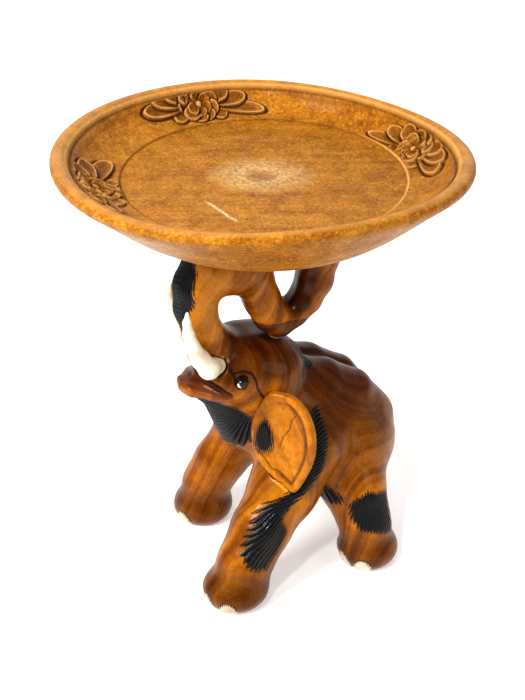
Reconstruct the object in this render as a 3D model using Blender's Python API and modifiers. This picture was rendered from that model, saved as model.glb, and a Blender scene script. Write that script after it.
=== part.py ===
"""Carved wooden elephant carrying a dished tray on its raised trunk.

World frame: metres, +Z up, floor at Z = 0, origin under the middle of the tray's outline.
The elephant faces -Y, so its left side is +X.
Figure frame: the same axes, with side measured from the elephant's own middle plane.
"""

import math

import bmesh
import bpy
from mathutils import Matrix, Vector

# ---------------------------------------------------------------- driving sizes
OBJECT_NAME = "carved_wooden_elephant"
GAP = 0.0003                      # clearance where one piece sits in another
FIGURE_X, FIGURE_Y = 0.0230, 0.0108   # the elephant's middle plane and its Y shift under the tray

TRAY_TOP = 0.473                  # top of the rolled lip
TRAY_UNDERSIDE = 0.394            # flat seat that rests on the trunk
DISH_FLOOR = 0.441                # flat inside of the tray
TRAY_RADIUS = 0.2011              # mean radius over the lip
LIP_WIDTH = 0.015
DISH_FLOOR_RADIUS = 0.148         # flat round floor, to the foot of the inner wall
SEAT_RADIUS = 0.095               # flat underside
# Slow waves of the hand-cut outline round the turned floor: (waves in one turn, height,
# angle of the first crest). The single wave puts the floor off the outline's middle.
OUTLINE_WAVES = ((1, 0.0115, -70.0), (2, 0.0117, 51.0), (3, 0.0056, 50.0), (4, 0.0020, 47.0))
TRAY_STEPS = 60

DOWEL_RADIUS = 0.006
DOWEL_REACH = 0.018               # how far a dowel goes into each piece
DOWELS = {"front": (0.002, -0.052), "rear": (0.023, 0.043)}   # side, y in the figure frame

FIGURE_VOXEL = 0.0035
FIGURE_TRIANGLES_KEPT = 0.050     # share of the remeshed faces that stays

TUSK_VOXEL = 0.0013
TUSK_TRIANGLES_KEPT = 0.045

# ---------------------------------------------------------------- the elephant's form
# Balls of wood in the figure frame, (side, y, z, radius). Neighbours in a chain are
# wrapped in their common hull, which gives a tapering limb. The balls of BODY, CROWN,
# FACE, NECK, JAW and THROAT stand in pairs, one on each side of the middle plane.
BODY = ((0.010, 0.018, 0.165, 0.064), (0.010, 0.046, 0.139, 0.067), (0.010, 0.077, 0.117, 0.0655))
BACK_RIDGE = ((0.018, 0.022, 0.214, 0.022), (0.018, 0.050, 0.203, 0.024),
              (0.017, 0.088, 0.178, 0.024), (0.014, 0.120, 0.140, 0.022))
CROWN = ((0.012, -0.018, 0.232, 0.044), (0.012, -0.036, 0.240, 0.040))
FACE = ((0.010, -0.036, 0.232, 0.040), (0.008, -0.058, 0.238, 0.036))
NECK = ((0.006, -0.022, 0.212, 0.042), (0.010, 0.014, 0.176, 0.054))
JAW = ((0.008, -0.060, 0.226, 0.028), (0.006, -0.085, 0.230, 0.017), (0.006, -0.100, 0.233, 0.009))
THROAT = ((0.0, -0.060, 0.214, 0.026), (0.0, -0.036, 0.165, 0.031), (0.0, 0.004, 0.145, 0.036))
LEGS = {
    "front_left": ((0.046, 0.012, 0.150, 0.045), (0.062, -0.020, 0.110, 0.035),
                   (0.075, -0.056, 0.074, 0.029), (0.084, -0.080, 0.044, 0.0265),
                   (0.085, -0.088, 0.020, 0.028)),
    "front_right": ((-0.044, 0.016, 0.150, 0.042), (-0.056, -0.006, 0.110, 0.032),
                    (-0.063, -0.036, 0.072, 0.026), (-0.067, -0.052, 0.044, 0.0235),
                    (-0.068, -0.055, 0.020, 0.026)),
    "rear_left": ((0.040, 0.064, 0.118, 0.050), (0.072, 0.064, 0.085, 0.031),
                  (0.087, 0.069, 0.050, 0.0255), (0.091, 0.072, 0.020, 0.027)),
    "rear_right": ((-0.042, 0.078, 0.118, 0.050), (-0.068, 0.086, 0.085, 0.031),
                   (-0.080, 0.096, 0.050, 0.0255), (-0.084, 0.098, 0.020, 0.027)),
}
FEET = {                          # flared foot: side, y, radius
    "front_left": (0.085, -0.092, 0.0355),
    "front_right": (-0.068, -0.056, 0.0340),
    "rear_left": (0.091, 0.072, 0.0335),
    "rear_right": (-0.084, 0.098, 0.0335),
}
FOOT_HALF_HEIGHT, FOOT_MIDDLE = 0.023, 0.017
# The trunk is plank-like: (side, y, z, half its thickness, half its width, degrees it has
# turned). It goes up, arches under the tray, dips to the crown and rises again to the tray.
TRUNK = (
    (0.000, -0.058, 0.248, 0.0340, 0.035, 0), (0.000, -0.074, 0.270, 0.0250, 0.027, 0),
    (0.000, -0.084, 0.292, 0.0190, 0.025, 0), (0.000, -0.0915, 0.320, 0.0190, 0.025, 0),
    (0.000, -0.089, 0.346, 0.0220, 0.025, 0), (0.000, -0.068, 0.368, 0.0310, 0.032, -4),
    (0.002, -0.046, 0.369, 0.0350, 0.036, -9), (0.006, -0.028, 0.344, 0.0200, 0.024, -12),
    (0.009, -0.020, 0.320, 0.0185, 0.023, -15), (0.011, -0.012, 0.301, 0.0170, 0.022, -15),
    (0.014, -0.002, 0.291, 0.0135, 0.021, -15), (0.018, 0.014, 0.299, 0.0115, 0.020, -15),
    (0.020, 0.027, 0.314, 0.0145, 0.020, -15), (0.022, 0.036, 0.335, 0.0180, 0.021, -15),
    (0.023, 0.041, 0.362, 0.0200, 0.022, -15), (0.023, 0.043, 0.395, 0.0210, 0.023, -15),
)
TAIL = ((0.0, 0.138, 0.142, 0.009), (-0.006, 0.147, 0.105, 0.0075), (-0.014, 0.138, 0.068, 0.0065),
        (-0.020, 0.126, 0.048, 0.010))

# Inserts, on the left side; the right side mirrors them.
TUSK = ((0.024, -0.080, 0.262, 0.0100), (0.0325, -0.093, 0.2665, 0.0115),
        (0.0330, -0.103, 0.281, 0.0100), (0.0330, -0.1110, 0.297, 0.0080),
        (0.0325, -0.1150, 0.313, 0.0062), (0.0320, -0.1165, 0.327, 0.0042),
        (0.0315, -0.1155, 0.337, 0.0020))
RIGHT_TUSK_SETBACK = 0.011
EYE = (0.0475, -0.0625, 0.248, 0.0065)
# An ear is a flat flap. Its outline runs from the crown round the rear edge to the tip and
# back up the cheek: (distance out along the flap, height from the flap's origin).
EAR_OUTLINE = ((-0.004, 0.046), (0.012, 0.052), (0.028, 0.049), (0.042, 0.036), (0.051, 0.017),
               (0.054, -0.004), (0.052, -0.022), (0.045, -0.042), (0.034, -0.060), (0.018, -0.052),
               (0.004, -0.042), (-0.012, -0.024), (-0.018, 0.010))
EAR_ORIGIN = (0.062, -0.040, 0.184)
EAR_SWEEP = 42.0                  # degrees the flap turns back from straight out to the side
EAR_LEAN = 9.0                    # degrees its lower end stands out
EAR_HALF_THICKNESS = 0.0055
EAR_EDGE_ROUNDING = 0.003

NAIL_ANGLES = {                   # degrees from straight ahead, positive towards the left
    "front_left": (-44.0, 2.0, 49.0),
    "front_right": (20.0, -27.0, -74.0),
    "rear_left": (-44.0, 3.0, 49.0),
    "rear_right": (44.0, -3.0, -49.0),
}
NAIL_HALF_SIZES = (0.0100, 0.0040, 0.0085)   # across, through, up
NAIL_HEIGHT = 0.0105
NAIL_INSET = 0.93                 # nail centre as a share of the foot's radius
TUSK_SOCKET_SLACK = 2 * GAP

COLOURS = {                       # base colour, roughness
    "wood": ((0.42, 0.17, 0.045), 0.35),
    "tray_wood": ((0.50, 0.23, 0.06), 0.35),
    "cream_paint": ((0.83, 0.78, 0.66), 0.55),
    "glass_eye": ((0.02, 0.018, 0.015), 0.08),
    "dowel_wood": ((0.60, 0.42, 0.24), 0.70),
}


# ---------------------------------------------------------------- scene helpers
def clear_scene():
    for thing in list(bpy.data.objects):
        bpy.data.objects.remove(thing, do_unlink=True)


def new_collection(name):
    made = bpy.data.collections.new(name)
    bpy.context.scene.collection.children.link(made)
    return made


def material(node_name, kind):
    colour, roughness = COLOURS[kind]
    made = bpy.data.materials.new(node_name)
    made.use_nodes = True
    shader = made.node_tree.nodes["Principled BSDF"]
    shader.inputs["Base Color"].default_value = (*colour, 1.0)
    shader.inputs["Roughness"].default_value = roughness
    shader.inputs["Metallic"].default_value = 0.0
    return made


def add_object(name, mesh, collection):
    made = bpy.data.objects.new(name, mesh)
    collection.objects.link(made)
    return made


def add_part(name, mesh, kind):
    made = add_object(name, mesh, PARTS)
    made.data.materials.append(material(name, kind))
    return made


def add_cutter(name, mesh):
    made = add_object(name, mesh, CUTTERS)
    made.hide_render = True
    made.display_type = "WIRE"
    return made


def cut(target, cutter):
    bite = target.modifiers.new(cutter.name, "BOOLEAN")
    bite.operation = "DIFFERENCE"
    bite.solver = "EXACT"
    bite.object = cutter


def applied_mesh(thing):
    """The thing's mesh with its modifiers applied; the thing itself is removed."""
    bpy.context.view_layer.update()
    evaluated = thing.evaluated_get(bpy.context.evaluated_depsgraph_get())
    mesh = bpy.data.meshes.new_from_object(evaluated)
    mesh.transform(thing.matrix_world)
    bpy.data.objects.remove(thing, do_unlink=True)
    return mesh


def smooth_shading(mesh, sharp_angle=40.0):
    mesh.shade_smooth()
    mesh.set_sharp_from_angle(angle=math.radians(sharp_angle))


def to_world(side, y, z):
    return Vector((FIGURE_X + side, FIGURE_Y + y, z))


def mirrored(balls):
    return tuple((-side, y, z, radius) for side, y, z, radius in balls)


# ---------------------------------------------------------------- mesh builders
def hull(balls, grow=0.0, segments=16):
    """bmesh of the convex hull of some balls, given in the figure frame."""
    cloud = bmesh.new()
    for side, y, z, radius in balls:
        place = Matrix.Translation(to_world(side, y, z))
        bmesh.ops.create_uvsphere(
            cloud, u_segments=segments, v_segments=segments // 2, radius=radius + grow, matrix=place)
    points = [v.co.copy() for v in cloud.verts]
    cloud.free()
    wrapped = bmesh.new()
    for point in points:
        wrapped.verts.new(point)
    result = bmesh.ops.convex_hull(wrapped, input=wrapped.verts)
    loose = {g for key in ("geom_interior", "geom_unused") for g in result[key]
             if isinstance(g, bmesh.types.BMVert)}
    bmesh.ops.delete(wrapped, geom=list(loose), context="VERTS")
    return wrapped


def add_to(whole, bm):
    """Copies bm's faces into whole and frees bm."""
    piece = bpy.data.meshes.new("piece")
    bm.to_mesh(piece)
    bm.free()
    whole.from_mesh(piece)
    bpy.data.meshes.remove(piece)


def add_chain(whole, balls, grow=0.0, segments=16):
    for pair in zip(balls, balls[1:]):
        add_to(whole, hull(pair, grow, segments))


def add_wide_chain(whole, balls):
    """A chain whose balls stand in pairs, side of the middle plane and its mirror image."""
    for near, far in zip(balls, balls[1:]):
        add_to(whole, hull((near, far, *mirrored((near, far)))))


def trunk_pair(side, y, z, radius, half_width, turned):
    """The two balls of one trunk station, either side of its own middle."""
    reach = max(half_width - radius, 0.001)
    across = Vector((math.cos(math.radians(turned)), math.sin(math.radians(turned)))) * reach
    return ((side + across.x, y + across.y, z, radius), (side - across.x, y - across.y, z, radius))


def add_foot(whole, side, y, radius):
    foot = bmesh.new()
    size = Matrix.Diagonal((radius, radius, FOOT_HALF_HEIGHT, 1.0))
    place = Matrix.Translation(to_world(side, y, FOOT_MIDDLE)) @ size
    bmesh.ops.create_uvsphere(foot, u_segments=24, v_segments=12, radius=1.0, matrix=place)
    add_to(whole, foot)


def finished(bm, name):
    """The mesh of bm, with its faces pointing out."""
    if bm.calc_volume(signed=True) < 0.0:
        bmesh.ops.reverse_faces(bm, faces=bm.faces)
    mesh = bpy.data.meshes.new(name)
    bm.to_mesh(mesh)
    bm.free()
    return mesh


def box_mesh(name, low, high):
    bm = bmesh.new()
    bmesh.ops.create_cube(bm, size=1.0)
    low, high = Vector(low), Vector(high)
    for v in bm.verts:
        v.co = (low + high) / 2 + Vector(a * b for a, b in zip(v.co, high - low))
    return finished(bm, name)


def merged_chain_mesh(name, balls, grow, voxel):
    """One closed skin round a chain of balls."""
    bm = bmesh.new()
    add_chain(bm, balls, grow, segments=24)
    source = add_object(name, finished(bm, name), CUTTERS)
    remesh = source.modifiers.new("skin", "REMESH")
    remesh.mode = "VOXEL"
    remesh.voxel_size = voxel
    thin = source.modifiers.new("thin", "DECIMATE")
    thin.ratio = TUSK_TRIANGLES_KEPT
    return applied_mesh(source)


# ---------------------------------------------------------------- the elephant
def figure_mesh():
    bm = bmesh.new()
    for chain in (BODY, CROWN, FACE, NECK, JAW, THROAT):
        add_wide_chain(bm, chain)
    for leg, chain in LEGS.items():
        add_chain(bm, chain)
        add_foot(bm, *FEET[leg])
    trunk = [trunk_pair(*station) for station in TRUNK]
    for near, far in zip(trunk, trunk[1:]):
        add_to(bm, hull((*near, *far)))
    for chain in (BACK_RIDGE, mirrored(BACK_RIDGE), TAIL):
        add_chain(bm, chain)
    source = add_object("figure_source", finished(bm, "figure_source"), CUTTERS)
    remesh = source.modifiers.new("one_block", "REMESH")
    remesh.mode = "VOXEL"
    remesh.voxel_size = FIGURE_VOXEL
    fair = source.modifiers.new("fair", "SMOOTH")
    fair.factor = 0.5
    fair.iterations = 6
    thin = source.modifiers.new("thin", "DECIMATE")
    thin.ratio = FIGURE_TRIANGLES_KEPT
    return applied_mesh(source)


def build_figure():
    part = add_part("elephant_figure", figure_mesh(), "wood")
    cut(part, add_cutter("floor_cut", box_mesh("floor_cut", (-0.3, -0.3, -0.1), (0.3, 0.3, 0.0))))
    top = TRAY_UNDERSIDE - GAP
    cut(part, add_cutter("seat_cut", box_mesh("seat_cut", (-0.3, -0.3, top), (0.3, 0.3, 0.6))))
    return part


# ---------------------------------------------------------------- inserts
def build_tusk(side_name, balls, figure):
    part = add_part(f"tusk_{side_name}", merged_chain_mesh("tusk", balls, 0.0, TUSK_VOXEL), "cream_paint")
    socket = merged_chain_mesh("tusk_socket", balls, TUSK_SOCKET_SLACK, TUSK_VOXEL)
    cut(figure, add_cutter(f"tusk_socket_{side_name}", socket))
    return part


def ball_mesh(name, ball, grow):
    side, y, z, radius = ball
    bm = bmesh.new()
    bmesh.ops.create_uvsphere(bm, u_segments=12, v_segments=8, radius=radius + grow,
                              matrix=Matrix.Translation(to_world(side, y, z)))
    return finished(bm, name)


def build_eye(side_name, ball, figure):
    part = add_part(f"eye_{side_name}", ball_mesh("eye", ball, 0.0), "glass_eye")
    cut(figure, add_cutter(f"eye_socket_{side_name}", ball_mesh("eye_socket", ball, GAP)))
    return part


def ear_mesh(name, hand, grow):
    """The flap from its outline, as a filled curve with thickness; hand is 1 left, -1 right."""
    curve = bpy.data.curves.new(name, "CURVE")
    curve.dimensions = "2D"
    curve.fill_mode = "BOTH"
    curve.extrude = EAR_HALF_THICKNESS - EAR_EDGE_ROUNDING
    curve.bevel_depth = EAR_EDGE_ROUNDING + grow
    curve.bevel_resolution = 1
    curve.offset = -EAR_EDGE_ROUNDING
    curve.resolution_u = 3
    spline = curve.splines.new("BEZIER")
    spline.use_cyclic_u = True
    spline.bezier_points.add(len(EAR_OUTLINE) - 1)
    for point, (out, up) in zip(spline.bezier_points, EAR_OUTLINE):
        point.co = (out, up, 0.0)
        point.handle_left_type = point.handle_right_type = "AUTO"
    flap = add_object(name, curve, CUTTERS)
    mesh = applied_mesh(flap)
    sweep = math.radians(EAR_SWEEP)
    along = Vector((math.cos(sweep), math.sin(sweep), 0.0))
    upright = along.cross(Vector((0.0, 0.0, 1.0)))
    up = Vector((0.0, 0.0, 1.0)) - upright * math.tan(math.radians(EAR_LEAN))
    up.normalize()
    place = Matrix((along, up, along.cross(up))).transposed().to_4x4()
    place.translation = EAR_ORIGIN
    mesh.transform(place)
    mesh.transform(Matrix.Diagonal((hand, 1.0, 1.0, 1.0)))
    mesh.transform(Matrix.Translation(to_world(0.0, 0.0, 0.0)))
    bm = bmesh.new()
    bm.from_mesh(mesh)
    bpy.data.meshes.remove(mesh)
    bmesh.ops.remove_doubles(bm, verts=bm.verts, dist=0.0001)
    return finished(bm, name)


def build_ear(side_name, hand, figure):
    part = add_part(f"ear_{side_name}", ear_mesh("ear", hand, 0.0), "wood")
    cut(figure, add_cutter(f"ear_seat_{side_name}", ear_mesh("ear_seat", hand, GAP)))
    return part


def nail_mesh(name, foot, angle, grow):
    side, y, radius = foot
    turn = math.radians(angle)
    ahead = Vector((math.sin(turn), -math.cos(turn), 0.0))
    reach = radius * NAIL_INSET
    centre = to_world(side, y, NAIL_HEIGHT) + ahead * reach
    bm = bmesh.new()
    bmesh.ops.create_uvsphere(bm, u_segments=8, v_segments=6, radius=1.0)
    across, through, up = (half + grow for half in NAIL_HALF_SIZES)
    size = Matrix.Diagonal((across, through, up, 1.0))
    place = Matrix.Translation(centre) @ Matrix.Rotation(turn, 4, "Z") @ size
    bm.transform(place)
    return finished(bm, name)


def build_nails(figure):
    for leg, angles in NAIL_ANGLES.items():
        for count, angle in enumerate(angles, 1):
            name = f"toenail_{leg}_{count}"
            add_part(name, nail_mesh(name, FEET[leg], angle, 0.0), "cream_paint")
            cut(figure, add_cutter(f"{name}_seat", nail_mesh(f"{name}_seat", FEET[leg], angle, GAP)))


# ---------------------------------------------------------------- the tray
def outline_radius(angle):
    return TRAY_RADIUS + sum(
        height * math.cos(waves * (angle - math.radians(crest))) for waves, height, crest in OUTLINE_WAVES)


def outline_middle():
    """Middle of the outline's bounding box, which goes to the origin."""
    angles = [math.radians(degree) for degree in range(360)]
    xs = [outline_radius(a) * math.cos(a) for a in angles]
    ys = [outline_radius(a) * math.sin(a) for a in angles]
    return Vector(((min(xs) + max(xs)) / 2, (min(ys) + max(ys)) / 2, 0.0))


def tray_profile():
    """(radius, height) from the middle of the dish, over the lip and back underneath."""
    rim, lip = TRAY_RADIUS, TRAY_RADIUS - LIP_WIDTH
    inside = [(0.0, DISH_FLOOR), (0.055, DISH_FLOOR), (0.110, DISH_FLOOR), (DISH_FLOOR_RADIUS, DISH_FLOOR),
              (0.1580, 0.4435), (0.1680, 0.4490), (0.1775, 0.4570), (lip - 0.001, 0.4655)]
    over_lip = [(lip + 0.003, TRAY_TOP - 0.0025), (lip + 0.0075, TRAY_TOP),
                (rim - 0.0030, TRAY_TOP - 0.0010), (rim, TRAY_TOP - 0.0050),
                (rim - 0.0005, TRAY_TOP - 0.0115), (rim - 0.0045, TRAY_TOP - 0.0155)]
    underneath = [(0.184, 0.4450), (0.168, 0.4275), (0.150, 0.4115), (0.130, 0.4015), (0.112, 0.3960),
                  (SEAT_RADIUS, TRAY_UNDERSIDE), (0.050, TRAY_UNDERSIDE), (0.0, TRAY_UNDERSIDE)]
    return inside + over_lip + underneath


def tray_mesh():
    profile = tray_profile()
    mesh = bpy.data.meshes.new("tray_profile")
    mesh.from_pydata([(r, 0.0, z) for r, z in profile], [(i, i + 1) for i in range(len(profile) - 1)], [])
    turned = add_object("tray_turned", mesh, CUTTERS)
    screw = turned.modifiers.new("turn", "SCREW")
    screw.steps = screw.render_steps = TRAY_STEPS
    screw.use_merge_vertices = True
    screw.merge_threshold = 0.00005
    round_tray = applied_mesh(turned)
    bm = bmesh.new()
    bm.from_mesh(round_tray)
    bpy.data.meshes.remove(round_tray)
    middle = outline_middle()
    for v in bm.verts:
        radius = v.co.xy.length
        angle = math.atan2(v.co.y, v.co.x)
        # The outline's waves die away from the rim to the round floor.
        share = max(0.0, (radius - DISH_FLOOR_RADIUS) / (TRAY_RADIUS - DISH_FLOOR_RADIUS))
        grown = radius + (outline_radius(angle) - TRAY_RADIUS) * min(share, 1.0)
        v.co.xy = (grown * math.cos(angle), grown * math.sin(angle))
        v.co -= middle
    return finished(bm, "tray")


def build_tray():
    return add_part("tray", tray_mesh(), "tray_wood")


def cylinder_mesh(name, x, y, low, high, radius):
    bm = bmesh.new()
    bmesh.ops.create_cone(bm, cap_ends=True, segments=16, radius1=radius, radius2=radius, depth=high - low,
                          matrix=Matrix.Translation((x, y, (low + high) / 2)))
    return finished(bm, name)


def build_dowels(figure, tray):
    low, high = TRAY_UNDERSIDE - DOWEL_REACH, TRAY_UNDERSIDE + DOWEL_REACH
    for end, (side, y) in DOWELS.items():
        centre = to_world(side, y, 0.0)
        mesh = cylinder_mesh("dowel", centre.x, centre.y, low, high, DOWEL_RADIUS)
        add_part(f"tray_dowel_{end}", mesh, "dowel_wood")
        hole = cylinder_mesh("dowel_hole", centre.x, centre.y, low - GAP, high + GAP, DOWEL_RADIUS + GAP)
        hole_cutter = add_cutter(f"tray_dowel_hole_{end}", hole)
        cut(figure, hole_cutter)
        cut(tray, hole_cutter)


# ---------------------------------------------------------------- build
clear_scene()
PARTS = new_collection(OBJECT_NAME)
CUTTERS = new_collection(f"{OBJECT_NAME}_cutters")

elephant = build_figure()
tray_part = build_tray()
for side_label, side_sign in (("left", 1.0), ("right", -1.0)):
    setback = 0.0 if side_label == "left" else RIGHT_TUSK_SETBACK
    tusk = [(side_sign * side, y + setback, z, radius) for side, y, z, radius in TUSK]
    build_tusk(side_label, tusk, elephant)
    build_eye(side_label, (side_sign * EYE[0], *EYE[1:]), elephant)
    build_ear(side_label, side_sign, elephant)
build_nails(elephant)
build_dowels(elephant, tray_part)
for piece in PARTS.objects:
    smooth_shading(piece.data)
bpy.context.view_layer.update()
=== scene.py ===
"""Looks of the carved elephant that carries a tray on its trunk.

The figure is a distance field of the same balls of wood that the frame's solid was made
from, with the carved lines cut into it, and is skinned with a fine mesh. The tray is a
turned grid with relief flowers. Every material is procedural.

World frame: metres, +Z up, floor at Z = 0. Figure frame: side from the elephant's middle
plane, y, z; the elephant faces -Y and its left is +side.
"""
import math

import bpy
import numpy as np
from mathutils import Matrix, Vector


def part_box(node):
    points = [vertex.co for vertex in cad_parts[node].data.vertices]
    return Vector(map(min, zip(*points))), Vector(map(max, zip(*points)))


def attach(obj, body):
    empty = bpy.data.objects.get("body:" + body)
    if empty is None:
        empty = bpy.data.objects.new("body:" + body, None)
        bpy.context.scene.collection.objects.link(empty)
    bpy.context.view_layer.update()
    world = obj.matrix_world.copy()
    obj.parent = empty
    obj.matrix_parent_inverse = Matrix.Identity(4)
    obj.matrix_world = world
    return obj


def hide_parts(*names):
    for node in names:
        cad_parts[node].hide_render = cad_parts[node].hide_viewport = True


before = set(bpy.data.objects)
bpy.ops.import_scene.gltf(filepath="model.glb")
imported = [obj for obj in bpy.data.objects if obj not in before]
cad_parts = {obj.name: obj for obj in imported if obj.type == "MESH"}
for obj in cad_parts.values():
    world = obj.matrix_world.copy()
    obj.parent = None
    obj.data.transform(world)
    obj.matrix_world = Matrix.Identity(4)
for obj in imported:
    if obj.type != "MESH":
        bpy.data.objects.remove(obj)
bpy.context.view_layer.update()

GAP = 0.0003                      # room between a piece and its seat
# Size of one cell of each skin, in metres, and the tray's steps round.
FULL_CELLS = {"figure": 0.00125, "ear": 0.0009, "tusk": 0.0008, "nail": 0.0006}
CELLS = FULL_CELLS
TRAY_STEPS = 1440

# ---------------------------------------------------------------- the elephant's form
# Balls (side, y, z, radius), as in the frame's solid. Neighbours in a chain are joined.
BODY = ((0.010, 0.018, 0.165, 0.064), (0.010, 0.046, 0.139, 0.067), (0.010, 0.077, 0.117, 0.0655))
BACK_RIDGE = ((0.018, 0.022, 0.214, 0.022), (0.018, 0.050, 0.203, 0.024),
              (0.017, 0.088, 0.178, 0.024), (0.014, 0.120, 0.140, 0.022))
CROWN = ((0.012, -0.018, 0.232, 0.044), (0.012, -0.036, 0.240, 0.040))
FACE = ((0.010, -0.036, 0.232, 0.040), (0.008, -0.058, 0.238, 0.036))
NECK = ((0.006, -0.022, 0.212, 0.042), (0.010, 0.014, 0.176, 0.054))
JAW = ((0.008, -0.060, 0.226, 0.028), (0.006, -0.085, 0.230, 0.017), (0.006, -0.100, 0.233, 0.009))
THROAT = ((0.0, -0.060, 0.214, 0.026), (0.0, -0.036, 0.165, 0.031), (0.0, 0.004, 0.145, 0.036))
LEGS = {
    "front_left": ((0.046, 0.012, 0.150, 0.045), (0.062, -0.020, 0.110, 0.035),
                   (0.075, -0.056, 0.074, 0.029), (0.084, -0.080, 0.044, 0.0265),
                   (0.085, -0.088, 0.020, 0.028)),
    "front_right": ((-0.044, 0.016, 0.150, 0.042), (-0.056, -0.006, 0.110, 0.032),
                    (-0.063, -0.036, 0.072, 0.026), (-0.067, -0.052, 0.044, 0.0235),
                    (-0.068, -0.055, 0.020, 0.026)),
    "rear_left": ((0.040, 0.064, 0.118, 0.050), (0.072, 0.064, 0.085, 0.031),
                  (0.087, 0.069, 0.050, 0.0255), (0.091, 0.072, 0.020, 0.027)),
    "rear_right": ((-0.042, 0.078, 0.118, 0.050), (-0.068, 0.086, 0.085, 0.031),
                   (-0.080, 0.096, 0.050, 0.0255), (-0.084, 0.098, 0.020, 0.027)),
}
FEET = {                          # flared foot: side, y, radius
    "front_left": (0.085, -0.092, 0.0355),
    "front_right": (-0.068, -0.056, 0.0340),
    "rear_left": (0.091, 0.072, 0.0335),
    "rear_right": (-0.084, 0.098, 0.0335),
}
FOOT_HALF_HEIGHT, FOOT_MIDDLE = 0.023, 0.017
# Trunk stations: side, y, z, half thickness, half width, degrees turned.
TRUNK = (
    (0.000, -0.058, 0.248, 0.0340, 0.035, 0), (0.000, -0.074, 0.270, 0.0250, 0.027, 0),
    (0.000, -0.084, 0.292, 0.0190, 0.025, 0), (0.000, -0.0915, 0.320, 0.0190, 0.025, 0),
    (0.000, -0.089, 0.346, 0.0220, 0.025, 0), (0.000, -0.068, 0.368, 0.0310, 0.032, -4),
    (0.002, -0.046, 0.369, 0.0350, 0.036, -9), (0.006, -0.028, 0.344, 0.0200, 0.024, -12),
    (0.009, -0.020, 0.320, 0.0185, 0.023, -15), (0.011, -0.012, 0.301, 0.0170, 0.022, -15),
    (0.014, -0.002, 0.291, 0.0135, 0.021, -15), (0.018, 0.014, 0.299, 0.0115, 0.020, -15),
    (0.020, 0.027, 0.314, 0.0145, 0.020, -15), (0.022, 0.036, 0.335, 0.0180, 0.021, -15),
    (0.023, 0.041, 0.362, 0.0200, 0.022, -15), (0.023, 0.043, 0.395, 0.0210, 0.023, -15),
)
TAIL = ((0.0, 0.138, 0.142, 0.009), (-0.006, 0.147, 0.105, 0.0075), (-0.014, 0.138, 0.068, 0.0065),
        (-0.020, 0.126, 0.048, 0.010))
TUSK = ((0.024, -0.080, 0.262, 0.0100), (0.0325, -0.093, 0.2665, 0.0115),
        (0.0330, -0.103, 0.281, 0.0100), (0.0330, -0.1110, 0.297, 0.0080),
        (0.0325, -0.1150, 0.313, 0.0062), (0.0320, -0.1165, 0.327, 0.0042),
        (0.0315, -0.1155, 0.337, 0.0020))
RIGHT_TUSK_SETBACK = 0.011
EYE = (0.0475, -0.0625, 0.248)
EYE_RADIUS = 0.0062               # the frame's bead is 0.3 mm larger all round
EAR_OUTLINE = ((-0.004, 0.046), (0.012, 0.052), (0.028, 0.049), (0.042, 0.036), (0.051, 0.017),
               (0.054, -0.004), (0.052, -0.022), (0.045, -0.042), (0.034, -0.060), (0.018, -0.052),
               (0.004, -0.042), (-0.012, -0.024), (-0.018, 0.010))
EAR_ORIGIN = (0.062, -0.040, 0.184)
EAR_SWEEP, EAR_LEAN = math.radians(42.0), math.radians(9.0)
EAR_HALF_THICKNESS = 0.0050       # the frame's flap is 0.5 mm thicker on each face
NAIL_ANGLES = {                   # degrees from straight ahead, positive towards the left
    "front_left": (-44.0, 2.0, 49.0),
    "front_right": (20.0, -27.0, -74.0),
    "rear_left": (-44.0, 3.0, 49.0),
    "rear_right": (44.0, -3.0, -49.0),
}
NAIL_HALF_WIDTH, NAIL_TOP = 0.0108, 0.0175
NAIL_REACH = 0.016                # half the side of a cube that holds one nail

# Carved lines of the left side of the head, as points near the surface; the right mirrors them.
BROW_LINE = ((0.029, -0.073, 0.272), (0.033, -0.073, 0.262), (0.039, -0.069, 0.256),
             (0.043, -0.059, 0.2585), (0.047, -0.051, 0.256), (0.050, -0.047, 0.247),
             (0.051, -0.046, 0.238), (0.053, -0.040, 0.225))
LID_LINE = ((0.033, -0.071, 0.266), (0.040, -0.067, 0.252), (0.042, -0.068, 0.245),
            (0.045, -0.065, 0.2395), (0.048, -0.059, 0.2395))
MOUTH = ((0.041, -0.074, 0.231, 0.0020), (0.034, -0.086, 0.238, 0.0045), (0.018, -0.099, 0.2435, 0.0075),
         (0.0, -0.104, 0.2445, 0.0085))
LIP_ROLL = ((0.039, -0.075, 0.2260, 0.0028), (0.028, -0.088, 0.2285, 0.0042),
            (0.012, -0.103, 0.2305, 0.0056), (0.0, -0.108, 0.2310, 0.0058))
SPINE = ((0.0, 0.000, 0.244), (0.0, 0.040, 0.232), (0.0, 0.080, 0.208), (0.0, 0.118, 0.170),
         (0.0, 0.138, 0.130))
STROKE_HEIGHT = 0.00045           # of one stroke of combed hair
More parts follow.
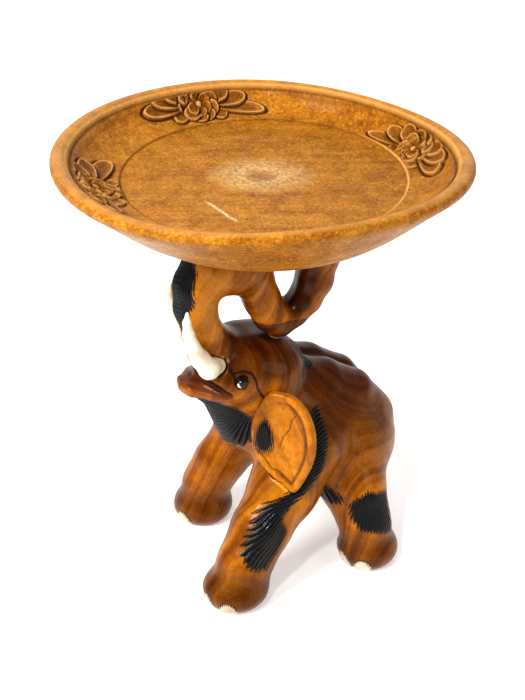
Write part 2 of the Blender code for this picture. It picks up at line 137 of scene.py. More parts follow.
# Painted, combed hair. Balls take in the surface that they touch; outlines are (y, z) seen from
# the side. Strokes run out from a pole (y, z), so many degrees apart, or across a direction.
CHAIN_HAIR = (                    # balls, heights kept to, direction across the strokes, pitch
    (((0, -0.106, 0.294, 0.004), (0, -0.110, 0.316, 0.014), (0, -0.110, 0.345, 0.0235),
      (0, -0.102, 0.366, 0.019)), (0.288, 0.386), (0.96, 0.0, 0.28), 0.0026),
    (((0.021, 0.006, 0.251, 0.014), (0.027, 0.024, 0.238, 0.010)), (0.20, 0.27), (0.2, 0.5, -0.8), 0.0026),
)
FAN_HAIR = (                      # balls, heights kept to, pole, degrees from stroke to stroke
    (((0, -0.094, 0.213, 0.030), (0, -0.080, 0.196, 0.040), (0, -0.066, 0.182, 0.044)), (0.150, 0.226),
     (-0.045, 0.220), 5.0),
)
SIDE_HAIR = (                     # on the left side, mirrored on the right
    (((0.066, 0.016, 0.200, 0.0050), (0.082, 0.013, 0.174, 0.0085), (0.091, 0.003, 0.147, 0.0095),
      (0.095, -0.024, 0.124, 0.0080), (0.095, -0.038, 0.116, 0.0080)), (0.11, 0.21),
     (0.0, -0.34, 0.94), 0.0034),
    (((0.050, -0.026, 0.228, 0.006), (0.052, -0.036, 0.208, 0.006), (0.050, -0.046, 0.194, 0.008)),
     (0.18, 0.24), (0.0, 0.80, -0.60), 0.0026),
    (((0.072, 0.026, 0.092, 0.012), (0.086, 0.038, 0.092, 0.008)), (0.05, 0.11), (0.0, 0.9, 0.3), 0.0030),
)
LEG_HAIR = {                      # outline, pole, degrees from stroke to stroke
    "front_left": (((-0.021, 0.132), (-0.053, 0.118), (-0.072, 0.102), (-0.085, 0.083), (-0.092, 0.070),
                    (-0.091, 0.059), (-0.082, 0.053), (-0.068, 0.050), (-0.053, 0.065), (-0.039, 0.086),
                    (-0.044, 0.097), (-0.034, 0.112)), (0.030, 0.155), 1.75),
    "rear_left": (((0.062, 0.102), (0.048, 0.096), (0.040, 0.088), (0.043, 0.069), (0.050, 0.057),
                   (0.073, 0.050), (0.092, 0.042), (0.090, 0.090)), (0.060, 0.165), 1.7),
}

# ---------------------------------------------------------------- the tray
TRAY_UNDERSIDE, DISH_FLOOR = 0.394, 0.441
TRAY_RADIUS, LIP_WIDTH, DISH_FLOOR_RADIUS = 0.2011, 0.015, 0.148
OUTLINE_WAVES = ((1, 0.0115, -70.0), (2, 0.0117, 51.0), (3, 0.0056, 50.0), (4, 0.0020, 47.0))
# Flowers on the wall: degrees round, metres up the wall from its middle, and 1 or -1 by hand.
FLOWERS = ((177.0, 0.0050, 1), (79.0, -0.0030, -1), (-101.0, 0.0010, 1), (-12.0, 0.0, -1))
FLOWER_REACH, FLOWER_RADIUS = 0.082, 0.168   # half its run, and the wall's radius where it lies
WALL_RISE, WALL_MIDDLE = 0.040, 0.52
# Petals of one flower: degrees from the wall's run, start, end, half width.
SIDE_PETALS = (
    (-22.0, 0.012, 0.036, 0.0058), (3.0, 0.012, 0.064, 0.0066), (15.0, 0.012, 0.051, 0.0068),
    (29.0, 0.012, 0.037, 0.0068), (212.0, 0.012, 0.034, 0.0058), (188.0, 0.012, 0.076, 0.0060),
    (174.0, 0.012, 0.054, 0.0066), (156.0, 0.012, 0.037, 0.0078),
)
BLOOM_RINGS = ((9, 0.0225, 0.0070, 0.0050), (6, 0.0140, 0.0052, 0.0062))   # petals, reach, width, height
SCRATCH = ((0.0221, -0.0780), (0.0820, -0.0700))   # from the middle of the dish floor
TRAY_GRAIN_TURN = 62.0            # degrees from +X to the way the tray's grain runs
PITH_SETBACK = 0.005              # from the middle of the dish floor, towards -X

# ---------------------------------------------------------------- finishes
VARNISH = (1.0, 0.62, 0.30)       # colour that the varnish gives to what it mirrors
RING_SCALE = 95.0                 # growth bands in a metre
FIGURE_TONES = ((0.165, 0.045, 0.002), (0.325, 0.104, 0.003), (0.470, 0.174, 0.006))
EAR_TONES = ((0.300, 0.095, 0.004), (0.500, 0.180, 0.006), (0.640, 0.270, 0.016))
TRAY_TONES = ((0.320, 0.118, 0.005), (0.420, 0.170, 0.009), (0.520, 0.235, 0.020))
TUSK_TONES = ((0.62, 0.52, 0.37), (0.76, 0.68, 0.53), (0.84, 0.78, 0.66))
NAIL_TONES = ((0.46, 0.36, 0.24), (0.62, 0.53, 0.39), (0.72, 0.65, 0.52))

# ---------------------------------------------------------------- the camera and the light
CAMERA_PLACE = (1.2908, -0.6767, 1.1238)
CAMERA_AZIMUTH, CAMERA_DIP = 62.0, 31.364
CAMERA_LENS, CAMERA_SENSOR = 80.78, 36.0     # millimetres
LIGHTS = (                        # metres to the right, away and up; size; watts; colour
    ("key", (-1.1, -0.9, 1.5), 0.8, 37.0, (1.0, 0.96, 0.92)),
    ("spark", (-0.35, -1.1, 1.5), 0.12, 8.0, (1.0, 0.99, 0.97)),
    ("fill", (1.6, -1.0, 0.9), 1.0, 6.0, (1.0, 0.98, 0.96)),
    ("top", (0.2, 0.9, 2.0), 1.2, 6.5, (1.0, 1.0, 1.0)),
)
LIGHT_AIM = (0.0, 0.0, 0.25)
WORLD_STRENGTH, FLOOR_GLOW = 0.33, 0.36


def centre(node):
    low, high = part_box(node)
    return (low + high) / 2


FIGURE_ORIGIN = np.array([(centre("eye_left").x + centre("eye_right").x) / 2,
                          centre("eye_left").y - EYE[1], 0.0])


# ---------------------------------------------------------------- distance fields
def cone(points, a, b, ra, rb):
    """Distance to the common hull of two balls."""
    a, b = np.asarray(a, float), np.asarray(b, float)
    axis = b - a
    length2, slope = axis @ axis, ra - rb
    flat = length2 - slope * slope
    pa = points - a
    along = pa @ axis
    past = along - length2
    x2 = ((pa * length2 - axis * along[:, None]) ** 2).sum(1)
    y2, z2 = along * along * length2, past * past * length2
    k = np.sign(slope) * slope * slope * x2
    out = (np.sqrt(np.maximum(x2 * flat / length2, 0.0)) + along * slope) / length2 - ra
    out = np.where(np.sign(along) * flat * y2 < k, np.sqrt(x2 + y2) / length2 - ra, out)
    return np.where(np.sign(past) * flat * z2 > k, np.sqrt(x2 + z2) / length2 - rb, out)


def soft_min(a, b, blend):
    h = np.maximum(blend - np.abs(a - b), 0.0) / blend
    return np.minimum(a, b) - h * h * blend * 0.25


def soft_max(a, b, blend):
    return -soft_min(-a, -b, blend)


def ramp(x, low, high):
    t = np.clip((x - low) / (high - low), 0.0, 1.0)
    return t * t * (3.0 - 2.0 * t)


def chain(points, balls, blend=0.0):
    out = None
    for near, far in zip(balls, balls[1:]):
        d = cone(points, near[:3], far[:3], near[3], far[3])
        if out is None:
            out = d
        else:
            out = soft_min(out, d, blend) if blend else np.minimum(out, d)
    return out


def wide_chain(points, balls, blend=0.0):
    """A chain whose balls stand in pairs, either side of the middle plane."""
    out = None
    folded = points.copy()
    for near, far in zip(balls, balls[1:]):
        folded[:, 0] = np.maximum(np.abs(points[:, 0]) - (near[0] + far[0]) / 2, 0.0)
        d = cone(folded, (0.0, *near[1:3]), (0.0, *far[1:3]), near[3], far[3])
        if out is None:
            out = d
        else:
            out = soft_min(out, d, blend) if blend else np.minimum(out, d)
    return out


def ellipsoid(points, middle, radii):
    q = (points - np.asarray(middle)) / np.asarray(radii)
    k0 = np.sqrt((q * q).sum(1))
    k1 = np.sqrt(((q / np.asarray(radii)) ** 2).sum(1))
    return k0 * (k0 - 1.0) / np.maximum(k1, 1e-9)


def line_distance(points, line):
    out = None
    for a, b in zip(line, line[1:]):
        a, b = np.asarray(a, float), np.asarray(b, float)
        t = np.clip((points - a) @ (b - a) / ((b - a) @ (b - a)), 0.0, 1.0)
        d = np.linalg.norm(points - a - t[:, None] * (b - a), axis=1)
        out = d if out is None else np.minimum(out, d)
    return out


def trunk_field(points):
    """The plank-like trunk: each link is a hull stretched across its own turned direction."""
    out = None
    for (sa, ya, za, ra, wa, ta), (sb, yb, zb, rb, wb, tb) in zip(TRUNK, TRUNK[1:]):
        turn = math.radians((ta + tb) / 2)
        across = np.array([math.cos(turn), math.sin(turn)])
        ahead = np.array([-across[1], across[0]])
        middle = np.array([(sa + sb) / 2, (ya + yb) / 2])
        flat = points[:, :2] - middle
        reach = max((wa + wb) / 2 - (ra + rb) / 2, 0.001)
        a, b = np.array([sa, ya]) - middle, np.array([sb, yb]) - middle
        side = np.maximum(np.abs(flat @ across - (a + b) @ across / 2) - reach, 0.0)
        local = np.stack([side, flat @ ahead, points[:, 2]], 1)
        d = cone(local, (0.0, a @ ahead, za), (0.0, b @ ahead, zb), ra, rb)
        out = d if out is None else soft_min(out, d, 0.008)
    return out


def legs_field(points):
    out = None
    for leg, balls in LEGS.items():
        side, y, radius = FEET[leg]
        foot = ellipsoid(points, (side, y, FOOT_MIDDLE), (radius, radius, FOOT_HALF_HEIGHT))
        d = soft_min(chain(points, balls, 0.018), foot, 0.010)
        out = d if out is None else np.minimum(out, d)
    return out


def block_field(points):
    """The elephant before any line is cut."""
    d = soft_min(wide_chain(points, CROWN), wide_chain(points, FACE), 0.006)
    d = soft_min(d, wide_chain(points, NECK), 0.012)
    d = soft_min(d, wide_chain(points, THROAT), 0.014)
    d = soft_min(d, wide_chain(points, JAW), 0.008)
    d = soft_min(d, wide_chain(points, BODY, 0.010), 0.012)
    for hand in (1, -1):
        ridge = [(hand * side, y, z, radius) for side, y, z, radius in BACK_RIDGE]
        d = soft_min(d, chain(points, ridge, 0.004), 0.010)
    d = soft_min(d, legs_field(points), 0.014)
    d = soft_min(d, chain(points, TAIL, 0.004), 0.008)
    return soft_min(d, trunk_field(points), 0.006)


def on_surface(line):
    """The line's points, moved on to the block's surface."""
    points = np.array(line, float)
    nudge = 0.0005
    for _ in range(3):
        here = block_field(points)
        slope = np.stack([block_field(points + nudge * axis) - here for axis in np.eye(3)], 1) / nudge
        points -= slope * (here / (slope ** 2).sum(1))[:, None]
    return points


def between(points, count=4):
    """The line with each stretch divided, so that it follows the surface."""
    points = np.array(points, float)
    steps = [a + (b - a) * i / count for a, b in zip(points, points[1:]) for i in range(count)]
    return np.array(steps + [points[-1]])


def nail_arch(leg, angle):
    """Points of the cut above one toenail."""
    side, y, radius = FEET[leg]
    arch = []
    for turn in np.linspace(-1.0, 1.0, 7):
        theta = math.radians(angle) + turn * NAIL_HALF_WIDTH * 1.12 / radius
        height = 0.0015 + NAIL_TOP * math.sqrt(max(1.0 - turn * turn, 0.0))
        level = (height - FOOT_MIDDLE) / FOOT_HALF_HEIGHT
        reach = radius * math.sqrt(1.0 - level * level)
        arch.append((side + reach * math.sin(theta), y - reach * math.cos(theta), height))
    return np.array(arch)


BROW, LID, SPINE_LINE = (on_surface(between(line)) for line in (BROW_LINE, LID_LINE, SPINE))
EYE_RING = on_surface([(EYE[0] - 0.005 * math.cos(t), EYE[1] + 0.0080 * math.cos(t),
                        EYE[2] + 0.0066 * math.sin(t)) for t in np.linspace(0.0, 2 * math.pi, 15)])
ARCHES = [on_surface(nail_arch(leg, angle)) for leg, angles in NAIL_ANGLES.items() for angle in angles]


def folded(points):
    """The same points on the left side."""
    out = points.copy()
    out[:, 0] = np.abs(out[:, 0])
    return out


def near_only(points, low, high, rule, far=0.02):
    """rule(points) inside the box, and far elsewhere."""
    out = np.full(len(points), far)
    inside = ((points > np.asarray(low)) & (points < np.asarray(high))).all(1)
    if inside.any():
        out[inside] = rule(points[inside])
    return out


def head_lines(points):
    d = np.minimum(line_distance(points, BROW), line_distance(points, EYE_RING))
    return np.minimum(d, line_distance(points, LID))


def arch_lines(points):
    out = None
    for arch in ARCHES:
        d = line_distance(points, arch)
        out = d if out is None else np.minimum(out, d)
    return out


def cut_lines(points):
    """Distance to the nearest carved line of the head and feet."""
    left = folded(points)
    head = near_only(left, (0.015, -0.095, 0.21), (0.08, -0.02, 0.30), head_lines)
    feet = near_only(points, (-0.14, -0.14, -0.01), (0.14, 0.15, 0.028), arch_lines)
    return np.minimum(head, feet)


def ear_frame(points, hand):
    """Out along the flap, up it, and through it."""
    side = points[:, 0] * hand - EAR_ORIGIN[0]
    y = points[:, 1] - EAR_ORIGIN[1]
    z = points[:, 2] - EAR_ORIGIN[2]
    out = side * math.cos(EAR_SWEEP) + y * math.sin(EAR_SWEEP)
    level = side * math.sin(EAR_SWEEP) - y * math.cos(EAR_SWEEP)
    up = z * math.cos(EAR_LEAN) - level * math.sin(EAR_LEAN)
    through = level * math.cos(EAR_LEAN) + z * math.sin(EAR_LEAN)
    return out, up, through


def outline_distance(x, y, outline):
    """Signed distance in the plane to a closed outline, negative inside."""
    out, sign = np.full(len(x), 1e9), np.ones(len(x))
    for (ax, ay), (bx, by) in zip(outline, outline[-1:] + outline[:-1]):
        ex, ey, wx, wy = bx - ax, by - ay, x - ax, y - ay
        t = np.clip((wx * ex + wy * ey) / (ex * ex + ey * ey), 0.0, 1.0)
        out = np.minimum(out, (wx - ex * t) ** 2 + (wy - ey * t) ** 2)
        above, below, left = y >= ay, y < by, ex * wy > ey * wx
        sign = np.where((above & below & left) | (~above & ~below & ~left), -sign, sign)
    return sign * np.sqrt(out)


def curve_between(p, f):
    """Catmull-Rom curve at share f of the way from p[1] to p[2]."""
    return 0.5 * (2 * p[1] + (p[2] - p[0]) * f + (2 * p[0] - 5 * p[1] + 4 * p[2] - p[3]) * f * f
                  + (3 * p[1] - p[0] - 3 * p[2] + p[3]) * f ** 3)


def rounded(outline, count=5):
    """The closed outline as a smooth curve through its corners."""
    ring = np.array(outline)
    a, b, c = np.roll(ring, 1, 0), np.roll(ring, -1, 0), np.roll(ring, -2, 0)
    out = []
    for k in range(len(ring)):
        for f in np.arange(count) / count:
            out.append(curve_between((a[k], ring[k], b[k], c[k]), f))
    return [tuple(point) for point in out]


EAR_CURVE = rounded(EAR_OUTLINE)
EAR_CRACKS = (((0.031, 0.031), (0.026, 0.023), (0.025, 0.014), (0.018, 0.003), (0.016, -0.006)),
              ((-0.013, -0.004), (-0.007, -0.019), (0.000, -0.025), (0.008, -0.035), (0.018, -0.038),
               (0.027, -0.047)))
EAR_TUFT, EAR_TUFT_RADII = (-0.0030, 0.0010), (0.0100, 0.0210)


def tuft_share(out, up):
    """1 in the middle of the tuft of hair on the ear's face, 0 at its edge."""
    width = np.maximum(EAR_TUFT_RADII[0] - 0.26 * (up - EAR_TUFT[1]), 0.003)
    return 1.0 - np.hypot((out - EAR_TUFT[0]) / width, (up - EAR_TUFT[1]) / EAR_TUFT_RADII[1])


def ear_cracks(out, up):
    flat = np.stack([out, up], 1)
    return np.minimum.reduce([line_distance(flat, np.array(crack)) for crack in EAR_CRACKS])


def ear_field(points, hand):
    """A flap with a dished front face and a rolled rear edge."""
    out, up, through = ear_frame(points, hand)
    edge = outline_distance(out, up, EAR_CURVE)
    rear = ramp(out, 0.004, 0.026)
    roll = np.exp(-(((edge + 0.0040) / 0.0036) ** 2)) * rear
    trench = np.exp(-(((edge + 0.0100) / 0.0024) ** 2)) * rear
    dish = 0.0022 * ramp(-edge, 0.006, 0.018) + 0.0012 * trench
    front = through - EAR_HALF_THICKNESS + dish - 0.0009 * roll
    front = front + 0.0009 * np.exp(-((ear_cracks(out, up) / 0.0009) ** 2))
    front = front - 0.0030 * ramp(tuft_share(out, up), 0.0, 0.45)
    back = -through - EAR_HALF_THICKNESS + 0.0012 * ramp(-edge, 0.002, 0.016)
    return soft_max(soft_max(front, back, 0.004), edge, 0.0045)


def tusk_balls(hand):
    setback = 0.0 if hand > 0 else RIGHT_TUSK_SETBACK
    return [(hand * side, y + setback, z, radius) for side, y, z, radius in TUSK]


def figure_field(points):
    d = block_field(points)
    left = folded(points)
    roll = near_only(left, (-0.01, -0.12, 0.20), (0.06, -0.05, 0.27), lambda p: chain(p, LIP_ROLL, 0.003))
    d = soft_min(d, roll, 0.006)
    mouth = near_only(left, (-0.01, -0.13, 0.21), (0.06, -0.05, 0.28), lambda p: chain(p, MOUTH, 0.003))
    d = soft_max(d, -mouth, 0.004)
    spine = near_only(points, (-0.03, -0.03, 0.09), (0.03, 0.17, 0.27),
                      lambda p: line_distance(p, SPINE_LINE), 0.05)
    d = d + 0.0050 * np.exp(-((spine / 0.0055) ** 2))
    d = d + 0.0011 * np.exp(-((cut_lines(points) / 0.0014) ** 2))
    socket = np.linalg.norm(left - np.array(EYE), axis=1) - EYE_RADIUS - GAP
    d = soft_max(d, -socket, 0.0010)
    for hand in (1, -1):
        tusk = near_only(points, (-0.06, -0.14, 0.24), (0.06, -0.06, 0.35),
                         lambda p: chain(p, tusk_balls(hand), 0.003))
        d = soft_max(d, -(tusk - 0.0012), 0.0014)
        ear = near_only(points, (-0.13, -0.07, 0.11), (0.13, 0.04, 0.25), lambda p: ear_field(p, hand))
        d = soft_max(d, -(ear - 0.0004), 0.0008)
    d = np.maximum(d, points[:, 2] - (TRAY_UNDERSIDE - GAP))
    return np.maximum(d, -points[:, 2])


# ---------------------------------------------------------------- skins
BLOCK = 4                         # samples along the side of one block of the coarse pass
CHUNK = 2048                      # blocks worked out at a time


def sampled(field, low, step, blocks):
    """Field values on a grid; only blocks near the surface are worked out in full."""
    index = np.stack(np.meshgrid(*[np.arange(n) for n in blocks], indexing="ij"), -1).reshape(-1, 3)
    middles = low + (index + 0.5 - 0.5 / BLOCK) * BLOCK * step
    rough = np.concatenate([field(part) for part in np.array_split(middles, len(middles) // 60000 + 1)])
    values = np.repeat(rough.astype(np.float32)[:, None], BLOCK ** 3, 1)
    inner = np.stack(np.meshgrid(*[np.arange(BLOCK)] * 3, indexing="ij"), -1).reshape(-1, 3)
    near = np.flatnonzero(np.abs(rough) < BLOCK * step * 1.15)
    for start in range(0, len(near), CHUNK):
        these = near[start:start + CHUNK]
        points = low + (index[these][:, None, :] * BLOCK + inner[None]) * step
        values[these] = field(points.reshape(-1, 3)).reshape(len(these), -1)
    shaped = values.reshape(*blocks, BLOCK, BLOCK, BLOCK)
    return shaped.transpose(0, 3, 1, 4, 2, 5).reshape([n * BLOCK for n in blocks])


def skin(field, low, high, step):
    """Points and four-sided faces of the field's zero surface inside the box."""
    low = np.asarray(low, float)
    blocks = np.ceil((np.asarray(high) - low) / (BLOCK * step)).astype(int)
    values = sampled(field, low, step, blocks)
    inside = values < 0.0
    corners = [np.array(c) for c in np.ndindex(2, 2, 2)]
    size = np.array(values.shape) - 1
    count = np.zeros(size, np.int8)
    for c in corners:
        count += inside[c[0]:c[0] + size[0], c[1]:c[1] + size[1], c[2]:c[2] + size[2]]
    cells = np.argwhere((count > 0) & (count < 8))
    at_corner = np.stack([values[tuple((cells + c).T)] for c in corners], 1)
    total, crossings = np.zeros((len(cells), 3)), np.zeros(len(cells))
    for i, a in enumerate(corners):
        for j, b in enumerate(corners):
            if j <= i or np.abs(a - b).sum() != 1:
                continue
            va, vb = at_corner[:, i], at_corner[:, j]
            crossed = (va < 0) != (vb < 0)
            t = np.where(crossed, va / np.where(crossed, va - vb, 1.0), 0.0)
            total += np.where(crossed[:, None], a + t[:, None] * (b - a), 0.0)
            crossings += crossed
    points = low + (cells + total / crossings[:, None]) * step
    number = np.full(size, -1, np.int32)
    number[tuple(cells.T)] = np.arange(len(cells))
    faces = []
    for axis in range(3):
        step_u, step_v = np.eye(3, dtype=int)[(axis + 1) % 3], np.eye(3, dtype=int)[(axis + 2) % 3]
        here = [slice(1, n) for n in size]
        here[axis] = slice(0, size[axis])
        there = list(here)
        there[axis] = slice(1, size[axis] + 1)
        first, second = inside[tuple(here)], inside[tuple(there)]
        for leaving in (True, False):
            edges = np.argwhere((first & ~second) if leaving else (~first & second))
            edges += np.array([0 if k == axis else 1 for k in range(3)])
            ring = [edges - step_u - step_v, edges - step_v, edges, edges - step_u]
            quad = np.stack([number[tuple(r.T)] for r in ring], 1)
            faces.append(quad if leaving else quad[:, ::-1])
    return points, np.concatenate(faces)


def mesh_object(name, points, faces, smooth_rounds=0):
    """A mesh object from arrays, with no stray points."""
    mesh = bpy.data.meshes.new(name)
    mesh.vertices.add(len(points))
    mesh.vertices.foreach_set("co", np.asarray(points, np.float32).ravel())
    sides = faces.shape[1]
    mesh.loops.add(faces.size)
    mesh.loops.foreach_set("vertex_index", faces.astype(np.int32).ravel())
    mesh.polygons.add(len(faces))
    mesh.polygons.foreach_set("loop_start", np.arange(0, faces.size, sides, dtype=np.int32))
    mesh.update(calc_edges=True)
    mesh.shade_smooth()
    made = bpy.data.objects.new(name, mesh)
    bpy.context.scene.collection.objects.link(made)
    if smooth_rounds:
        fair = made.modifiers.new("fair", "SMOOTH")
        fair.factor = 0.5
        fair.iterations = smooth_rounds
        apply_modifiers(made)
    return made


def apply_modifiers(thing):
    graph = bpy.context.evaluated_depsgraph_get()
    mesh = bpy.data.meshes.new_from_object(thing.evaluated_get(graph))
    thing.modifiers.clear()
    thing.data = mesh


def points_of(thing):
    out = np.zeros(len(thing.data.vertices) * 3, np.float32)
    thing.data.vertices.foreach_get("co", out)
    return out.reshape(-1, 3).astype(float)


def normals_of(thing):
    out = np.zeros(len(thing.data.vertices) * 3, np.float32)
    thing.data.vertices.foreach_get("normal", out)
    return out.reshape(-1, 3).astype(float)


def move_points(thing, points):
    thing.data.vertices.foreach_set("co", points.astype(np.float32).ravel())
    thing.data.update()


def note(thing, name, values):
    """Stores one number a point, for the material."""
    layer = thing.data.attributes.new(name, "FLOAT", "POINT")
    layer.data.foreach_set("value", values.astype(np.float32))


def shelter(field, points, normals, reach=0.007, depth=0.0045):
    """How much the surface is sheltered by its surroundings, and how much it sticks out."""
    hollow = np.clip(1.0 - field(points + normals * reach) / reach, 0.0, 1.0)
    proud = np.clip(1.0 + field(points - normals * depth) / depth, 0.0, 1.0)
    return hollow, proud


# ---------------------------------------------------------------- painted hair
def comb(paint, phase, reach, turns):
    """Adds one patch: reach is positive inside it, and its edge is ragged between the strokes."""
    here = ramp(reach + 0.0018 * np.cos(2 * math.pi * turns), 0.0, 0.0012)
    return np.maximum(paint, here), np.where(here > paint, turns, phase)


def fan_turns(points, pole, degrees):
    turn = np.degrees(np.arctan2(pole[1] - points[:, 2], pole[0] - points[:, 1]))
    far = np.hypot(pole[1] - points[:, 2], pole[0] - points[:, 1])
    return (turn + 0.2 * np.sin(far * 150.0)) / degrees


def across_turns(points, across, pitch):
    sway = 0.0005 * np.sin(points[:, 1] * 310.0)
    return (points @ (np.array(across) / np.linalg.norm(across)) + sway) / pitch


def height_band(points, low, high):
    return np.minimum(points[:, 2] - low, high - points[:, 2])


def hair_of(points):
    """Paint from 0 to 1, and the strokes' phase in turns."""
    paint, phase = np.zeros(len(points)), np.zeros(len(points))
    left = folded(points)
    for balls, band, across, pitch in CHAIN_HAIR:
        reach = np.minimum(-chain(points, balls), height_band(points, *band))
        paint, phase = comb(paint, phase, reach, across_turns(points, across, pitch))
    for balls, band, pole, degrees in FAN_HAIR:
        reach = np.minimum(-chain(points, balls), height_band(points, *band))
        paint, phase = comb(paint, phase, reach, fan_turns(points, pole, degrees))
    for balls, band, across, pitch in SIDE_HAIR:
        reach = np.minimum(-chain(left, balls), height_band(points, *band))
        paint, phase = comb(paint, phase, reach, across_turns(left, across, pitch))
    for leg, (outline, pole, degrees) in LEG_HAIR.items():
        for hand, name in ((1, leg), (-1, leg.replace("left", "right"))):
            moved = points * np.array([hand, 1.0, 1.0])
            moved[:, 1] -= FEET[name][1] - FEET[leg][1]
            reach = -outline_distance(moved[:, 1], moved[:, 2], outline)
            reach = np.minimum(reach, (moved[:, 0] - 0.068) * 0.5)
            paint, phase = comb(paint, phase, reach, fan_turns(moved, pole, degrees))
    return paint, phase


# ---------------------------------------------------------------- node materials
class Recipe:
    """A material's node tree with short ways to add to it."""

    def __init__(self, name):
        self.material = bpy.data.materials.new(name)
        self.material.use_nodes = True
        self.tree = self.material.node_tree
        self.shader = self.tree.nodes["Principled BSDF"]

    def feed(self, socket, value):
        if isinstance(value, bpy.types.NodeSocket):
            self.tree.links.new(value, socket)
        else:
            socket.default_value = value

    def node(self, kind, inputs=None, output=0, **settings):
        made = self.tree.nodes.new(kind)
        for key, value in settings.items():
            setattr(made, key, value)
        for key, value in (inputs or {}).items():
            self.feed(made.inputs[key], value)
        return made.outputs[output]

    def math(self, operation, a, b=0.0, clamp=False):
        return self.node("ShaderNodeMath", {0: a, 1: b}, operation=operation, use_clamp=clamp)

    def times(self, a, b, clamp=False):
        return self.math("MULTIPLY", a, b, clamp)

    def noise(self, vector, scale, detail=4.0, rough=0.55, distortion=0.0):
        return self.node("ShaderNodeTexNoise", {"Vector": vector, "Scale": scale, "Detail": detail,
                                                "Roughness": rough, "Distortion": distortion})

    def attribute(self, name):
        return self.node("ShaderNodeAttribute", output="Fac", attribute_name=name)

    def place(self):
        return self.node("ShaderNodeTexCoord", output="Object")

    def mapped(self, vector, rotation=(0.0, 0.0, 0.0), scale=(1.0, 1.0, 1.0), location=(0.0, 0.0, 0.0)):
        return self.node("ShaderNodeMapping", {"Vector": vector, "Location": location,
                                               "Rotation": rotation, "Scale": scale})

    def ramp(self, factor, stops):
        made = self.tree.nodes.new("ShaderNodeValToRGB")
        band = made.color_ramp
        while len(band.elements) < len(stops):
            band.elements.new(0.5)
        for element, (position, colour) in zip(band.elements, stops):
            element.position = position
            element.color = (*colour, 1.0) if len(colour) == 3 else colour
        self.feed(made.inputs["Fac"], factor)
        return made.outputs["Color"]

    def level(self, factor, low, high):
        """0 below low, 1 above high."""
        return self.node("ShaderNodeMapRange", {"Value": factor, "From Min": low, "From Max": high})

    def mix(self, factor, a, b, blend="MIX"):
        made = self.tree.nodes.new("ShaderNodeMix")
        made.data_type = "RGBA"
        made.blend_type = blend
        self.feed(made.inputs["Factor"], factor)
        self.feed(made.inputs["A"], (*a, 1.0) if isinstance(a, tuple) and len(a) == 3 else a)
        self.feed(made.inputs["B"], (*b, 1.0) if isinstance(b, tuple) and len(b) == 3 else b)
        return made.outputs["Result"]

    def stained(self, colour, where, share, tone):
        """The colour, darkened by tone where the map is high."""
        return self.mix(self.times(where, share), colour, tone, "MULTIPLY")

    def bump(self, height, strength, distance, normal=None):
        inputs = {"Height": height, "Strength": strength, "Distance": distance}
        if normal is not None:
            inputs["Normal"] = normal
        return self.node("ShaderNodeBump", inputs)

    def finish(self, colour, roughness, normal, coat=0.0, coat_roughness=0.2, specular=0.5,
               tint=(1.0, 1.0, 1.0), ior=1.5):
        self.feed(self.shader.inputs["Base Color"], colour)
        self.feed(self.shader.inputs["Roughness"], roughness)
        self.feed(self.shader.inputs["Normal"], normal)
        self.shader.inputs["Coat Weight"].default_value = coat
        self.shader.inputs["Coat Roughness"].default_value = coat_roughness
        self.shader.inputs["Specular IOR Level"].default_value = specular
        self.shader.inputs["Specular Tint"].default_value = (*tint, 1.0)
        self.shader.inputs["IOR"].default_value = ior
        return self.material


def grain_of(recipe, place, rotation, pith):
    """Growth bands round a pith line, and fibres along it. The grain runs along local Z."""
    turned = recipe.mapped(place, rotation=rotation, location=pith)
    bend = recipe.noise(recipe.mapped(turned, scale=(1.0, 1.0, 0.35)), 9.0, 3.0)
    flat = recipe.mapped(turned, scale=(1.0, 1.0, 0.0))
    radius = recipe.node("ShaderNodeVectorMath", {0: flat}, output="Value", operation="LENGTH")
    warped = recipe.math("ADD", radius, recipe.times(bend, 0.020))
    bands = recipe.node("ShaderNodeTexNoise", {"W": warped, "Scale": RING_SCALE, "Detail": 3.0,
                                               "Roughness": 0.62}, noise_dimensions="1D")
    fibres = recipe.noise(recipe.mapped(turned, scale=(1.0, 1.0, 0.05)), 620.0, 3.0, 0.6)
    return bands, fibres


def painted_hair(recipe, speckle):
    """Colour of the strokes, and how high each stands, from the phase across them."""
    wave = recipe.math("COSINE", recipe.times(recipe.attribute("phase"), 2 * math.pi))
    stroke = recipe.level(wave, -0.6, 0.9)
    # The raised crests are painted a lighter blue than the troughs: a painted highlight.
    hairs = recipe.mix(stroke, (0.0004, 0.0010, 0.0016), (0.001, 0.012, 0.022))
    worn = recipe.times(recipe.level(speckle, 0.60, 0.80), stroke)
    return recipe.mix(worn, hairs, (0.10, 0.09, 0.08)), stroke


